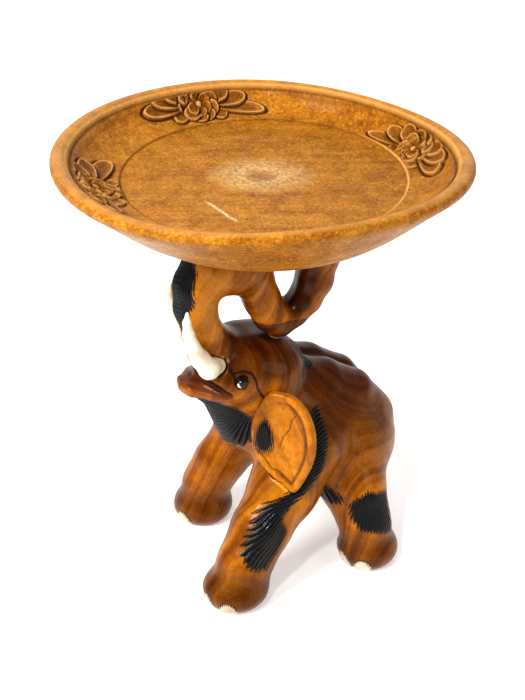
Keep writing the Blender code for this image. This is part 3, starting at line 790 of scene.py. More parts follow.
def wood(name, tones, rotation, pith):
    """Stained and varnished hardwood with carved lines and painted hair: tones run dark to light."""
    recipe = Recipe(name)
    place = recipe.place()
    bands, fibres = grain_of(recipe, place, rotation, pith)
    colour = recipe.ramp(bands, list(zip((0.25, 0.50, 0.75), tones)))
    stain = recipe.noise(place, 21.0, 5.0, 0.6, 0.4)
    colour = recipe.mix(recipe.level(stain, 0.46, 0.74), colour, (0.46, 0.34, 0.22), "MULTIPLY")
    mottle = recipe.noise(place, 75.0, 5.0, 0.65)
    colour = recipe.stained(colour, recipe.level(mottle, 0.46, 0.66), 0.50, (0.50, 0.36, 0.22))
    speckle = recipe.noise(place, 330.0, 3.0, 0.7)
    colour = recipe.stained(colour, recipe.level(speckle, 0.46, 0.74), 0.45, (0.55, 0.40, 0.28))
    colour = recipe.stained(colour, recipe.level(fibres, 0.45, 0.75), 0.35, (0.50, 0.36, 0.24))
    # The tone attribute darkens: partly a darker tone, partly painted shade underneath, in the trunk's loop, in
    # the mouth and at the ears' roots.
    dark_tone_and_shade = recipe.times(recipe.attribute("tone"), 0.80, True)
    colour = recipe.mix(dark_tone_and_shade, colour, (0.17, 0.095, 0.060), "MULTIPLY")
    # Painted shade: sheltered hollows are darkened almost to black.
    hollow = recipe.math("POWER", recipe.attribute("hollow"), 2.2)
    colour = recipe.mix(recipe.times(hollow, 0.88, True), colour, (0.018, 0.009, 0.006))
    # Lightened on proud edges, as wear, and towards the front of the trunk's column.
    lightened = recipe.math("ADD", recipe.attribute("proud"), recipe.times(speckle, 0.35))
    worn = recipe.times(recipe.level(lightened, 0.62, 0.98), 0.60)
    colour = recipe.mix(worn, colour, (0.74, 0.33, 0.04))
    height = recipe.math("ADD", recipe.times(fibres, 0.6), recipe.times(speckle, 0.5))
    normal = recipe.bump(height, 0.35, 0.0006)
    normal = recipe.bump(stain, 0.25, 0.004, normal)
    paint = recipe.attribute("paint")
    hairs, stroke = painted_hair(recipe, speckle)
    colour = recipe.mix(recipe.times(recipe.attribute("lip"), 0.45), colour, (0.22, 0.066, 0.020))
    colour = recipe.mix(paint, colour, hairs)
    colour = recipe.mix(recipe.attribute("line"), colour, (0.010, 0.005, 0.004))
    rough = recipe.math("ADD", 0.25, recipe.times(stain, 0.22))
    rough = recipe.math("ADD", rough, recipe.times(paint, 0.08))
    normal = recipe.bump(recipe.times(stroke, paint), 0.8, 0.0012, normal)
    return recipe.finish(colour, rough, normal, coat=0.16, coat_roughness=0.10, specular=0.50,
                         tint=VARNISH, ior=1.28)


# ---------------------------------------------------------------- the elephant
def to_world(points):
    return points + FIGURE_ORIGIN


def darker_tone_and_shade(points, normals, gullet):
    """Darkening: on the back, crown, upper faces and feet; painted shade underneath, in the loop and the mouth.
    """
    y, z = points[:, 1], points[:, 2]
    below_loop = z < 0.30
    top = ramp(normals[:, 2], 0.0, 0.8) * ramp(z, 0.10, 0.19) * below_loop
    crown = ramp(z, 0.230, 0.256) * below_loop * ramp(y, -0.088, -0.066)
    # painted shade on faces that look down
    under = ramp(-normals[:, 2], 0.2, 0.9) * 0.5
    foot = 0.80 * ramp(-z, -0.065, -0.030)
    back = 1.10 * ramp(y, -0.03, 0.02) * ramp(z, 0.135, 0.200) * (z < 0.27)
    # painted shade on the rear loop's faces that look forward
    loop = 1.2 * ramp(-normals[:, 1], 0.1, 0.6) * (y > 0.0) * (z > 0.295)
    # painted shade in the mouth's recess
    mouth = 1.5 * ramp(-gullet, -0.0030, -0.0005)
    return np.maximum.reduce([top, crown, under, foot, back, loop, mouth])


def figure_piece():
    points, faces = skin(figure_field, (-0.135, -0.140, -0.004), (0.135, 0.170, 0.398), CELLS["figure"])
    figure = mesh_object("carved_elephant", points, faces, smooth_rounds=2)
    points, normals = points_of(figure), normals_of(figure)
    hollow, proud = shelter(figure_field, points, normals)
    paint, phase = hair_of(points)
    points = points + normals * (STROKE_HEIGHT * paint * np.cos(2 * math.pi * phase))[:, None]
    points[:, 2] = np.clip(points[:, 2], 0.0, TRAY_UNDERSIDE - GAP)
    left = folded(points)
    lip = near_only(left, (-0.01, -0.13, 0.20), (0.06, -0.05, 0.27), lambda p: chain(p, LIP_ROLL))
    gullet = near_only(left, (-0.01, -0.13, 0.21), (0.06, -0.05, 0.28), lambda p: chain(p, MOUTH))
    # The trunk's rising column is made paler towards its front.
    trunk_front = 0.60 * ramp(points[:, 2], 0.270, 0.300) * ramp(-points[:, 1], 0.050, 0.072)
    lightened = np.maximum(proud * ramp(points[:, 2], 0.0, 0.004), trunk_front)
    note(figure, "hollow", hollow)
    note(figure, "proud", lightened * (1.0 - paint))
    note(figure, "paint", paint)
    note(figure, "phase", phase)
    note(figure, "line", ramp(-cut_lines(points), -0.0018, -0.0010))
    note(figure, "lip", ramp(-lip, -0.0045, 0.000))
    note(figure, "tone", darker_tone_and_shade(points, normals, gullet))
    move_points(figure, to_world(points))
    return figure


def field_piece(name, field, low, high, step):
    """A smaller piece cut from its own field."""
    points, faces = skin(field, low, high, step)
    made = mesh_object(name, points, faces, smooth_rounds=1)
    points, normals = points_of(made), normals_of(made)
    hollow, proud = shelter(field, points, normals, 0.004, 0.0022)
    note(made, "hollow", hollow)
    note(made, "proud", proud)
    move_points(made, to_world(points))
    return made


def ear_piece(label, hand):
    low, high = (0.035, -0.065, 0.115), (0.120, 0.030, 0.245)
    if hand < 0:
        low, high = (-high[0], *low[1:]), (-low[0], *high[1:])
    flap = field_piece(f"ear_{label}_flap", lambda p: ear_field(p, hand), low, high,
                       CELLS["ear"])
    out, up, through = ear_frame(points_of(flap) - FIGURE_ORIGIN, hand)
    nothing = np.zeros(len(out))
    reach = np.where(through > 0.0, tuft_share(out, up) * EAR_TUFT_RADII[0], -1.0)
    paint, phase = comb(nothing, nothing, reach, (out + 0.15 * up) / 0.0022)
    note(flap, "paint", paint)
    note(flap, "phase", phase)
    edge = outline_distance(out, up, EAR_CURVE)
    front = (through > 0.0) * (1.0 - paint)
    # Dark along the cracks, and in the trench inside the rear roll, where the darkening is painted shade.
    trench = 0.75 * np.exp(-(((edge + 0.0100) / 0.0018) ** 2)) * ramp(out, 0.004, 0.026)
    note(flap, "line", np.maximum(0.7 * ramp(-ear_cracks(out, up), -0.0011, -0.0003), trench) * front)
    # Painted shade: darker towards the top of the front edge, where the flap meets the head.
    note(flap, "tone", 0.75 * ramp(-out, -0.022, 0.010) * ramp(up, -0.030, 0.020) * front)
    return flap


def tusk_piece(label, hand):
    low, high = (0.010, -0.130, 0.245), (0.050, -0.062, 0.345)
    if hand < 0:
        low, high = (-high[0], *low[1:]), (-low[0], *high[1:])

    def field(points):
        ripple = 0.00010 * np.sin(points @ np.array([310.0, 420.0, 260.0]))
        return chain(points, tusk_balls(hand), 0.003) + ripple + GAP

    return field_piece(f"tusk_{label}_ivory", field, low, high, CELLS["tusk"])


def nail_piece(leg, count, angle):
    side, y, radius = FEET[leg]

    def field(points):
        foot = legs_field(points)
        shell = np.maximum(foot - 0.0011, -foot - 0.0030)
        theta = np.arctan2(points[:, 0] - side, y - points[:, 1]) - math.radians(angle)
        theta = (theta + math.pi) % (2 * math.pi) - math.pi
        across = theta * radius / NAIL_HALF_WIDTH
        up = (points[:, 2] - 0.0010) / NAIL_TOP
        chip = 0.10 * np.sin(theta * 95.0 + count) + 0.06 * np.sin(theta * 210.0)
        patch = (np.sqrt(across ** 2 + np.maximum(up, 0.0) ** 2) - 1.0 + chip) * NAIL_HALF_WIDTH * 0.7
        return np.maximum(np.maximum(shell, patch), 0.0004 - points[:, 2])

    turn = math.radians(angle)
    middle = np.array([side + radius * math.sin(turn), y - radius * math.cos(turn), 0.009])
    name = f"toenail_{leg}_{count}_horn"
    return field_piece(name, field, middle - NAIL_REACH, middle + NAIL_REACH, CELLS["nail"])


def eye_piece(label, hand):
    """A dark bead with a small pale comma beside its middle."""
    segments = 48
    ring = np.linspace(0.0, math.pi, segments // 2 + 1)[1:-1]
    turn = np.linspace(0.0, 2 * math.pi, segments, endpoint=False)
    outward = np.array([hand * 0.86, -0.45, 0.24])
    outward /= np.linalg.norm(outward)
    side = np.cross(outward, (0.0, 0.0, 1.0))
    side /= np.linalg.norm(side)
    up = np.cross(side, outward)
    points = [outward] + [outward * math.cos(a) + (side * math.cos(b) + up * math.sin(b)) * math.sin(a)
                          for a in ring for b in turn] + [-outward]
    faces = []
    for row in range(len(ring) - 1):
        for k in range(segments):
            a, b = 1 + row * segments + k, 1 + row * segments + (k + 1) % segments
            faces.append((a, b, b + segments, a + segments))
    last = 1 + (len(ring) - 1) * segments
    caps = []
    for k in range(segments):
        follow = (k + 1) % segments
        caps.append((0, 1 + follow, 1 + k))
        caps.append((len(points) - 1, last + k, last + follow))
    mesh = bpy.data.meshes.new(f"eye_{label}_bead")
    unit = np.array(points)
    place = np.array([hand * EYE[0], EYE[1], EYE[2]]) + FIGURE_ORIGIN
    mesh.from_pydata((unit * EYE_RADIUS + place).tolist(), [], [f[::-1] for f in faces] + caps)
    mesh.shade_smooth()
    bead = bpy.data.objects.new(f"eye_{label}_bead", mesh)
    bpy.context.scene.collection.objects.link(bead)
    comma = outward + 0.62 * side * hand - 0.30 * up
    comma /= np.linalg.norm(comma)
    white = ramp(unit @ comma, 0.89, 0.93) * (1.0 - ramp(unit @ outward, 0.84, 0.90))
    note(bead, "pupil", 1.0 - white)
    return bead


# ---------------------------------------------------------------- the tray's mesh
def outline_radius(angle):
    out = np.full_like(angle, TRAY_RADIUS)
    for waves, height, crest in OUTLINE_WAVES:
        out += height * np.cos(waves * (angle - math.radians(crest)))
    return out


def outline_middle():
    angle = np.radians(np.arange(360.0))
    edge = outline_radius(angle)[:, None] * np.stack([np.cos(angle), np.sin(angle)], 1)
    return (edge.max(0) + edge.min(0)) / 2


DISH_MIDDLE = -outline_middle()   # the turned floor's middle, in the world frame


def petal(run, rise, degrees, start, end, half_width):
    """Distance from a petal's middle as a share of its size, and the place along it."""
    turn = math.radians(degrees)
    along = run * math.cos(turn) + rise * math.sin(turn)
    across = -run * math.sin(turn) + rise * math.cos(turn)
    share = np.clip((along - start) / (end - start), 0.0, 1.0)
    width = half_width * (0.35 + 0.95 * np.sin(math.pi * np.clip(share, 0.0, 1.0) ** 0.8 * 0.72))
    middle, reach = (start + end) / 2, (end - start) / 2
    return np.sqrt(((along - middle) / reach) ** 4 + (across / width) ** 2), share, across / width


def lay_petal(laid, shape, height):
    """Lays one cupped petal over what is there: raised rim, hollow middle, cut round it."""
    relief, edge, carved_shade = laid
    q, share, across = shape
    inside = q < 1.0
    cup = height * (0.40 + 0.60 * q ** 3) * ramp(1.0 - q, 0.0, 0.10)
    rib = 0.0006 * np.exp(-((across / 0.14) ** 2)) * ramp(share, 0.1, 0.5)
    groove = np.exp(-(((q - 1.09) / 0.15) ** 2))
    relief = np.where(inside, cup - rib, relief * (1 - groove) - 0.0018 * groove)
    # The pale rim is partly wear and partly a painted highlight, paler towards the tip.
    edge = np.where(inside, np.exp(-(((q - 0.86) / 0.08) ** 2)) * ramp(share, 0.2, 0.6), edge * (1 - groove))
    # Painted shade: dark in the cup's middle and in the cut round the petal.
    middle = 0.78 * np.exp(-(((q - 0.25) / 0.42) ** 2)) * (1.0 - 0.75 * share)
    carved_shade = np.where(inside, np.maximum(middle, ramp(q, 0.95, 1.0)), np.maximum(carved_shade, groove))
    return relief, edge, carved_shade


def flower_relief(run, rise):
    """Height, pale rim and painted shade of one carved flower, from its middle; the rim is partly painted
    highlight.
    """
    laid = (np.zeros_like(run), np.zeros_like(run), np.zeros_like(run))
    for degrees, start, end, half_width in SIDE_PETALS:
        laid = lay_petal(laid, petal(run, rise, degrees, start, end, half_width), 0.0042)
    for ring, (petals, reach, half_width, height) in enumerate(BLOOM_RINGS):
        for k in range(petals):
            degrees = 360.0 * (k + 0.5 * ring) / petals
            laid = lay_petal(laid, petal(run, rise, degrees, 0.0015, reach, half_width), height)
    relief, edge, carved_shade = laid
    heart = np.hypot(run, rise) / 0.0040
    dome = 0.0046 * np.sqrt(np.maximum(1 - heart ** 2, 0)) + 0.0004
    relief = np.where(heart < 1.0, dome, relief)
    return relief, np.where(heart < 0.7, 0.7, edge), np.where(heart < 1.0, ramp(heart, 0.6, 1.0), carved_shade)


def tray_profile():
    """(radius, height, share of the wall) from the floor's middle, over the lip and underneath."""
    rim, lip = TRAY_RADIUS, TRAY_RADIUS - LIP_WIDTH
    floor = [(r, DISH_FLOOR - 0.0002, 0.0) for r in np.linspace(0.0, DISH_FLOOR_RADIUS - 0.0028, 44)]
    step_up = [(DISH_FLOOR_RADIUS - 0.0016, DISH_FLOOR - 0.0012, 0.0),
               (DISH_FLOOR_RADIUS - 0.0008, DISH_FLOOR - 0.0010, 0.0),
               (DISH_FLOOR_RADIUS, DISH_FLOOR + 0.0004, 0.0)]
    shape = np.array([(DISH_FLOOR_RADIUS, DISH_FLOOR + 0.0004), (0.158, 0.4440), (0.168, 0.4492),
                      (0.1775, 0.4570), (lip - 0.0025, 0.4640)])
    count = 58
    reach = np.linspace(0.0, 1.0, count)
    knots = np.linspace(0.0, 1.0, len(shape))
    wall = [(np.interp(t, knots, shape[:, 0]), smooth_between(t, shape[:, 1]), t) for t in reach[1:]]
    lip_line = [(lip - 0.0018, 0.4648), (lip - 0.0009, 0.4634), (lip, 0.4650),
                (lip + 0.0008, 0.4680), (lip + 0.0022, 0.4702), (lip + 0.0040, 0.4716),
                (lip + 0.0062, 0.4726), (lip + 0.0084, 0.47292), (rim - 0.0046, 0.47275), (rim - 0.0028, 0.4718),
                (rim - 0.0012, 0.4701), (rim - 0.0002, 0.4676), (rim - 0.0001, 0.4650),
                (rim - 0.0008, 0.4622), (rim - 0.0022, 0.4598), (rim - 0.0040, 0.4585),
                (rim - 0.0052, 0.4566)]
    under = [(0.1900, 0.4505), (0.184, 0.4450), (0.176, 0.4360), (0.168, 0.4278), (0.159, 0.4190),
             (0.150, 0.4118), (0.140, 0.4058), (0.130, 0.4015), (0.121, 0.3984), (0.112, 0.3961),
             (0.103, 0.3946), (0.095, 0.394), (0.070, 0.394), (0.045, 0.394), (0.020, 0.394), (0.0, 0.394)]
    return floor + step_up + wall + [(r, z, -1.0) for r, z in lip_line + under]


def smooth_between(t, heights):
    """A round curve through evenly spaced heights."""
    n = len(heights) - 1
    i = min(int(t * n), n - 1)
    p = [heights[max(i - 1, 0)], heights[i], heights[i + 1], heights[min(i + 2, n)]]
    return curve_between(p, t * n - i)


def flowers_on(turn, wall):
    """Height, pale rim and painted shade of the flowers at each point of the tray's grid."""
    relief, edge, carved_shade = (np.zeros_like(turn) for _ in range(3))
    for degrees, lift, hand in FLOWERS:
        apart = (turn - math.radians(degrees) + math.pi) % (2 * math.pi) - math.pi
        run = apart * FLOWER_RADIUS * hand
        rise = (wall - WALL_MIDDLE) * WALL_RISE - lift
        close = (np.abs(run) < FLOWER_REACH) & (wall > 0.0)
        fade = ramp(wall[close], 0.0, 0.05) * ramp(-wall[close], -1.0, -0.95)
        for whole, part in zip((relief, edge, carved_shade), flower_relief(run[close], rise[close])):
            whole[close] = part * fade
    return relief, edge, carved_shade


def grid_faces(rows, steps):
    """Faces between the rings, and the fans that close the middle above and underneath."""
    k = np.arange(steps)
    follow = (k + 1) % steps
    quads = np.concatenate([np.stack([row * steps + k, (row + 1) * steps + k,
                                      (row + 1) * steps + follow, row * steps + follow], 1)
                            for row in range(rows - 1)])
    top, bottom, last = rows * steps, rows * steps + 1, (rows - 1) * steps
    caps = [(top, int(a), int(b)) for a, b in zip(k, follow)]
    caps += [(bottom, int(last + b), int(last + a)) for a, b in zip(k, follow)]
    return quads.tolist() + caps


def note_rings(tray, name, values):
    """Stores the grid's numbers, and nothing at its two middle points."""
    note(tray, name, np.concatenate([values.ravel(), [0.0, 0.0]]))


def pith_dip(grown, turn):
    """The worn hollow at the pith, with a low ridge round it."""
    swirl = np.hypot(grown * np.cos(turn) / 1.25, grown * np.sin(turn)) / 0.022
    return -0.0010 * np.exp(-swirl ** 2 * 3) + 0.0005 * np.exp(-((swirl - 1) / 0.3) ** 2)


def tray_piece():
    profile = np.array(tray_profile())
    angle = np.linspace(0.0, 2 * math.pi, TRAY_STEPS, endpoint=False)
    radius, height, wall = (profile[1:-1, i][:, None] * np.ones(TRAY_STEPS) for i in range(3))
    turn = angle[None, :] * np.ones_like(radius)
    share = np.clip((radius - DISH_FLOOR_RADIUS) / (TRAY_RADIUS - DISH_FLOOR_RADIUS), 0.0, 1.0)
    grown = radius + (outline_radius(turn) - TRAY_RADIUS) * share
    relief, edge, carved_shade = flowers_on(turn, wall)
    # The relief stands up square to the wall, which leans in towards the dish.
    grown = grown - relief * 0.5
    height = height + relief * 0.8
    dip = np.where(wall == 0.0, pith_dip(grown, turn), 0)
    height = height + np.where(radius < 0.06, dip, 0.0) * (height > DISH_FLOOR - 0.01)
    x, y = grown * np.cos(turn) + DISH_MIDDLE[0], grown * np.sin(turn) + DISH_MIDDLE[1]
    points = np.stack([x, y, height], -1).reshape(-1, 3)
    middles = [[*DISH_MIDDLE, DISH_FLOOR - 0.0012], [*DISH_MIDDLE, TRAY_UNDERSIDE]]
    mesh = bpy.data.meshes.new("carved_tray")
    mesh.from_pydata(points.tolist() + middles, [], grid_faces(len(profile) - 2, TRAY_STEPS))
    mesh.shade_smooth()
    tray = bpy.data.objects.new("carved_tray", mesh)
    bpy.context.scene.collection.objects.link(tray)
    from_lip = radius - (TRAY_RADIUS - LIP_WIDTH)
    on_lip = height > 0.46
    ring = np.exp(-(((radius - DISH_FLOOR_RADIUS + 0.0012) / 0.0011) ** 2)) * (wall >= 0.0)
    # This share paints the floor's ring pale round 20 degrees, as painted light, and dark on the far side, as
    # painted shade.
    worn = ramp(np.cos(turn - math.radians(20.0)), -0.3, 0.5)
    lip_cut = np.exp(-(((from_lip + 0.0010) / 0.0012) ** 2)) * on_lip
    lip_edge = np.exp(-(((from_lip - 0.0016) / 0.0010) ** 2)) * on_lip
    # Painted highlight along the top of the rim.
    rim_highlight = 0.22 * ramp(height, 0.4700, 0.4726)
    note_rings(tray, "hollow", carved_shade)
    note_rings(tray, "proud", np.maximum.reduce([edge * 0.8, lip_edge * 0.9, ring * worn * 0.9, rim_highlight]))
    note_rings(tray, "line", np.maximum(ring * 0.85 * (1.0 - worn), lip_cut))
    note_rings(tray, "petals", ramp(np.abs(relief), 0.0001, 0.0008))
    note_rings(tray, "tone", 0.25 * ramp(wall, 0.55, 1.0))
    return tray


def pith_of(recipe, place, warp, rough_wood, top_side):
    """The pale roughened ring, and the darker heart inside it."""
    from_pith = recipe.mapped(place, location=(PITH_SETBACK - DISH_MIDDLE[0], -DISH_MIDDLE[1], 0.0))
    turned = recipe.mapped(from_pith, rotation=(0.0, 0.0, -math.radians(TRAY_GRAIN_TURN)))
    floor_only = recipe.mapped(turned, scale=(0.72, 1.0, 0.0))
    far = recipe.node("ShaderNodeVectorMath", {0: floor_only}, output="Value", operation="LENGTH")
    far = recipe.math("ADD", far, recipe.times(recipe.math("SUBTRACT", warp, 0.5), 0.045))
    pale = recipe.ramp(far, [(0.0, (0.25,) * 3), (0.008, (0.30,) * 3), (0.020, (0.9,) * 3),
                             (0.028, (0.60,) * 3), (0.048, (0.0,) * 3)])
    pale = recipe.times(recipe.times(pale, recipe.level(rough_wood, 0.34, 0.62)), top_side)
    heart = recipe.times(recipe.math("SUBTRACT", 1.0, recipe.level(far, 0.004, 0.018)), top_side)
    return pale, heart


def scratch_of(recipe, place, warp, rough_wood, top_side):
    """A short pale line on the floor."""
    start, end = (np.array(p) + DISH_MIDDLE for p in SCRATCH)
    lean = math.atan2(end[1] - start[1], end[0] - start[0])
    length = float(np.linalg.norm(end - start))
    middle = (start + end) / 2
    moved = recipe.mapped(place, location=(-middle[0], -middle[1], 0.0))
    split = recipe.tree.nodes.new("ShaderNodeSeparateXYZ")
    recipe.feed(split.inputs[0], recipe.mapped(moved, rotation=(0.0, 0.0, -lean)))
    wander = recipe.times(recipe.math("SUBTRACT", warp, 0.5), 0.006)
    off = recipe.math("ABSOLUTE", recipe.math("ADD", split.outputs[1], wander))
    past_end = recipe.level(recipe.math("ABSOLUTE", split.outputs[0]), length * 0.34, length * 0.5)
    on_line = recipe.math("SUBTRACT", 1.0, recipe.level(off, 0.0007, 0.0028))
    on_line = recipe.times(on_line, recipe.math("SUBTRACT", 1.0, past_end))
    return recipe.times(recipe.times(on_line, top_side), recipe.level(rough_wood, 0.30, 0.55))


def tray_wood():
    """The tray's golden floor, its rough pale pith and the scratch beside it."""
    recipe = Recipe("tray_varnished_wood")
    place = recipe.place()
    turned = recipe.mapped(place, rotation=(0.0, 0.0, -math.radians(TRAY_GRAIN_TURN)))
    warp = recipe.noise(place, 13.0, 3.0)
    streaks = recipe.noise(recipe.mapped(turned, scale=(0.10, 1.0, 1.0)), 95.0, 5.0, 0.62, 0.5)
    fibres = recipe.noise(recipe.mapped(turned, scale=(0.06, 1.0, 1.0)), 480.0, 3.0, 0.62)
    grain = recipe.math("ADD", recipe.times(streaks, 0.7), recipe.times(warp, 0.3))
    colour = recipe.ramp(grain, list(zip((0.30, 0.50, 0.70), TRAY_TONES)))
    mottle = recipe.noise(place, 48.0, 6.0, 0.68)
    colour = recipe.stained(colour, recipe.level(mottle, 0.44, 0.62), 0.60, (0.50, 0.36, 0.20))
    speckle = recipe.noise(place, 300.0, 4.0, 0.75)
    colour = recipe.stained(colour, recipe.level(speckle, 0.48, 0.66), 0.60, (0.50, 0.34, 0.18))
    light_specks = recipe.times(recipe.level(speckle, 0.46, 0.30), 0.45)
    colour = recipe.mix(light_specks, colour, (0.88, 0.46, 0.10))
    colour = recipe.stained(colour, recipe.level(fibres, 0.45, 0.72), 0.35, (0.55, 0.38, 0.22))
    rough_wood = recipe.noise(place, 260.0, 5.0, 0.75)
    height_now = recipe.node("ShaderNodeSeparateXYZ", {0: place}, output=2)
    top_side = recipe.level(height_now, 0.425, 0.435)
    pale, heart = pith_of(recipe, place, warp, rough_wood, top_side)
    colour = recipe.mix(recipe.times(pale, 0.92), colour, (0.92, 0.66, 0.32))
    colour = recipe.mix(recipe.times(heart, 0.55), colour, (0.24, 0.12, 0.045))
    scratch = scratch_of(recipe, place, warp, rough_wood, top_side)
    colour = recipe.mix(recipe.times(scratch, 0.9), colour, (0.95, 0.70, 0.38))
    colour = recipe.stained(colour, recipe.attribute("petals"), 0.40, (0.50, 0.34, 0.16))
    colour = recipe.mix(recipe.attribute("tone"), colour, (0.38, 0.19, 0.05), "MULTIPLY")
    # Painted shade: the flowers' cuts and cups are darkened almost to black.
    carved_shade = recipe.times(recipe.attribute("hollow"), 0.92, True)
    colour = recipe.mix(carved_shade, colour, (0.014, 0.005, 0.002))
    # Pale on the petals' rims and the lip's edge, partly wear and partly painted highlight; painted highlight on
    # the rim's top; painted light on one side of the floor's ring.
    worn = recipe.times(recipe.attribute("proud"), recipe.level(speckle, 0.20, 0.62))
    colour = recipe.mix(worn, colour, (0.90, 0.52, 0.19))
    # Dark in the lip's cut, and painted shade on the far side of the floor's ring.
    colour = recipe.mix(recipe.times(recipe.attribute("line"), 0.75), colour, (0.03, 0.012, 0.006))
    rough = recipe.math("ADD", 0.27, recipe.times(speckle, 0.14))
    rough = recipe.math("ADD", rough, recipe.times(pale, 0.25))
    height = recipe.math("ADD", recipe.times(fibres, 0.6), recipe.times(speckle, 0.4))
    normal = recipe.bump(height, 0.40, 0.0006)
    normal = recipe.bump(recipe.noise(place, 150.0, 5.0, 0.7), 0.60, 0.0035, normal)
    bare = recipe.times(rough_wood, recipe.math("ADD", pale, scratch))
    normal = recipe.bump(bare, 0.9, 0.0015, normal)
    return recipe.finish(colour, rough, normal, coat=0.05, coat_roughness=0.15, specular=0.50,
                         tint=VARNISH, ior=1.30)


# ---------------------------------------------------------------- small materials
def cream_paint(name, tones, chipped=0.5):
    """Cream paint with pits and worn spots that show the wood."""
    recipe = Recipe(name)
    place = recipe.place()
    tint = recipe.noise(place, 60.0, 4.0)
    colour = recipe.ramp(tint, list(zip((0.32, 0.50, 0.68), tones)))
    pits = recipe.node("ShaderNodeTexVoronoi", {"Vector": place, "Scale": 520.0}, output="Distance")
    spread = recipe.noise(place, 150.0, 2.0)
    pit = recipe.times(recipe.math("SUBTRACT", 1.0, recipe.level(pits, 0.10, 0.26)),
                      recipe.level(spread, 0.50, 0.62))
    colour = recipe.mix(recipe.times(pit, 0.8), colour, (0.22, 0.12, 0.05))
    stains = recipe.level(recipe.noise(place, 95.0, 5.0, 0.7), 0.60, 0.72)
    colour = recipe.mix(recipe.times(stains, chipped), colour, (0.42, 0.24, 0.10))
    rough = recipe.math("ADD", 0.42, recipe.times(tint, 0.25))
    height = recipe.math("SUBTRACT", recipe.noise(place, 240.0, 4.0, 0.65), pit)
    return recipe.finish(colour, rough, recipe.bump(height, 0.45, 0.0007), coat=0.10, coat_roughness=0.3)


def eye_glass():
    recipe = Recipe("eye_bead")
    place = recipe.place()
    cloud = recipe.noise(place, 420.0, 3.0)
    rim = recipe.mix(recipe.level(cloud, 0.4, 0.7), (0.80, 0.72, 0.56), (0.50, 0.36, 0.22))
    colour = recipe.mix(recipe.attribute("pupil"), rim, (0.006, 0.006, 0.007))
    rough = recipe.math("ADD", 0.05, recipe.times(cloud, 0.06))
    return recipe.finish(colour, rough, recipe.bump(cloud, 0.08, 0.0003), coat=0.15, coat_roughness=0.05,
                         specular=0.35)


def dowel_wood():
    recipe = Recipe("dowel_plain_wood")
    place = recipe.place()
    fibres = recipe.noise(recipe.mapped(place, scale=(1.0, 1.0, 0.08)), 500.0, 4.0)
    colour = recipe.ramp(fibres, [(0.35, (0.42, 0.26, 0.12)), (0.65, (0.66, 0.47, 0.27))])
    return recipe.finish(colour, recipe.math("ADD", 0.55, recipe.times(fibres, 0.2)),
                         recipe.bump(fibres, 0.4, 0.0005))


def floor_paper():
    recipe = Recipe("pale_floor")
    cloud = recipe.noise(recipe.place(), 3.0, 2.0)
    colour = recipe.mix(cloud, (0.86, 0.86, 0.865), (0.90, 0.90, 0.90))
    recipe.shader.inputs["Emission Color"].default_value = (1.0, 1.0, 1.0, 1.0)
    recipe.shader.inputs["Emission Strength"].default_value = FLOOR_GLOW
    return recipe.finish(colour, 0.85, recipe.bump(cloud, 0.05, 0.001), specular=0.2)


# ---------------------------------------------------------------- the stage
def add_stage():
    mesh = bpy.data.meshes.new("studio_floor")
    reach, rise, bend = 4.0, 3.5, 16
    back = Vector((-math.sin(math.radians(CAMERA_AZIMUTH)), math.cos(math.radians(CAMERA_AZIMUTH)), 0.0))
    side = Vector((back.y, -back.x, 0.0))
    line = [(-reach, 0.0), (2.2, 0.0)]
    line += [(2.2 + math.sin(t), 1.0 - math.cos(t)) for t in np.linspace(0.0, math.pi / 2, bend)[1:]]
    line += [(3.2, rise)]
    points = [back * along + Vector((0.0, 0.0, up)) + side * across
              for along, up in line for across in (-reach, reach)]
    faces = [(2 * i, 2 * i + 1, 2 * i + 3, 2 * i + 2) for i in range(len(line) - 1)]
    mesh.from_pydata([tuple(p) for p in points], [], faces)
    mesh.shade_smooth()
    floor = bpy.data.objects.new("studio_floor", mesh)
    bpy.context.scene.collection.objects.link(floor)
    floor.data.materials.append(floor_paper())


def add_light(name, place, size, power, colour):
    lamp = bpy.data.lights.new(name, "AREA")
    lamp.shape = "DISK"
    lamp.size = size
    lamp.energy = power
    lamp.color = colour
    made = bpy.data.objects.new(name, lamp)
    made.location = place
    made.rotation_euler = (Vector(LIGHT_AIM) - Vector(place)).to_track_quat("-Z", "Y").to_euler()
    bpy.context.scene.collection.objects.link(made)


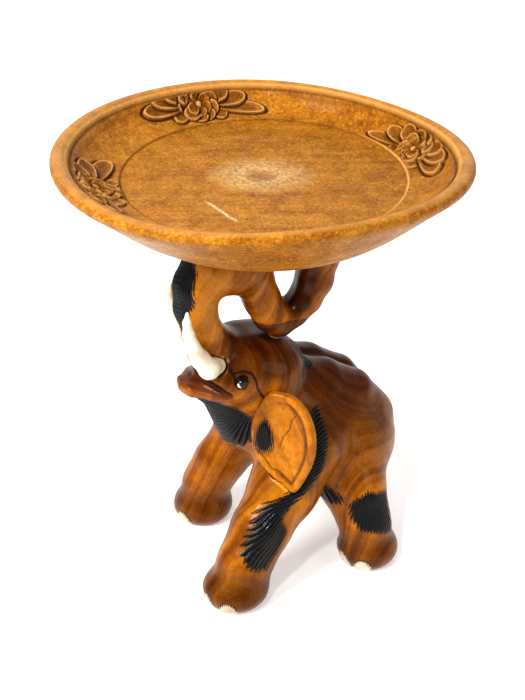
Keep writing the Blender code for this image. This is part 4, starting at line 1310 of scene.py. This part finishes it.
def add_camera_and_lights():
    lens = bpy.data.cameras.new("camera")
    lens.lens = CAMERA_LENS
    lens.sensor_width = CAMERA_SENSOR
    lens.sensor_fit = "AUTO"
    lens.clip_start, lens.clip_end = 0.05, 50.0
    camera = bpy.data.objects.new("camera", lens)
    camera.location = CAMERA_PLACE
    camera.rotation_euler = (math.radians(90.0 - CAMERA_DIP), 0.0, math.radians(CAMERA_AZIMUTH))
    bpy.context.scene.collection.objects.link(camera)
    bpy.context.scene.camera = camera
    turn = math.radians(CAMERA_AZIMUTH)
    right = np.array([math.cos(turn), math.sin(turn), 0.0])
    away = np.array([-math.sin(turn), math.cos(turn), 0.0])
    up = np.array([0.0, 0.0, 1.0])
    for name, (across, behind, above), size, power, colour in LIGHTS:
        add_light(name, across * right + behind * away + above * up, size, power, colour)
    world = bpy.data.worlds.new("studio")
    world.use_nodes = True
    world.node_tree.nodes["Background"].inputs["Color"].default_value = (1.0, 1.0, 1.0, 1.0)
    world.node_tree.nodes["Background"].inputs["Strength"].default_value = WORLD_STRENGTH
    bpy.context.scene.world = world
    bpy.context.scene.view_settings.view_transform = "Standard"
    bpy.context.scene.view_settings.look = "Medium High Contrast"


# ---------------------------------------------------------------- assembly
def place_piece(piece, node, material):
    piece.data.materials.clear()
    piece.data.materials.append(material)
    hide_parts(node)
    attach(piece, "root")


figure_wood = wood("figure_stained_wood", FIGURE_TONES, (math.radians(28.0), 0.0, 0.0), (0.0, 0.02, 0.0))
ear_wood = wood("ear_stained_wood", EAR_TONES, (math.radians(12.0), math.radians(20.0), 0.0),
                (0.05, 0.0, 0.0))
ivory = cream_paint("tusk_cream", TUSK_TONES)
horn = cream_paint("nail_cream", NAIL_TONES, 0.7)
glass = eye_glass()
dowel = dowel_wood()

place_piece(figure_piece(), "elephant_figure", figure_wood)
place_piece(tray_piece(), "tray", tray_wood())
for label, hand in (("left", 1), ("right", -1)):
    place_piece(ear_piece(label, hand), f"ear_{label}", ear_wood)
    place_piece(tusk_piece(label, hand), f"tusk_{label}", ivory)
    place_piece(eye_piece(label, hand), f"eye_{label}", glass)
for leg, angles in NAIL_ANGLES.items():
    for count, angle in enumerate(angles, 1):
        place_piece(nail_piece(leg, count, angle), f"toenail_{leg}_{count}", horn)
for end in ("front", "rear"):
    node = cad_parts[f"tray_dowel_{end}"]
    node.data.materials.clear()
    node.data.materials.append(dowel)

add_stage()
add_camera_and_lights()
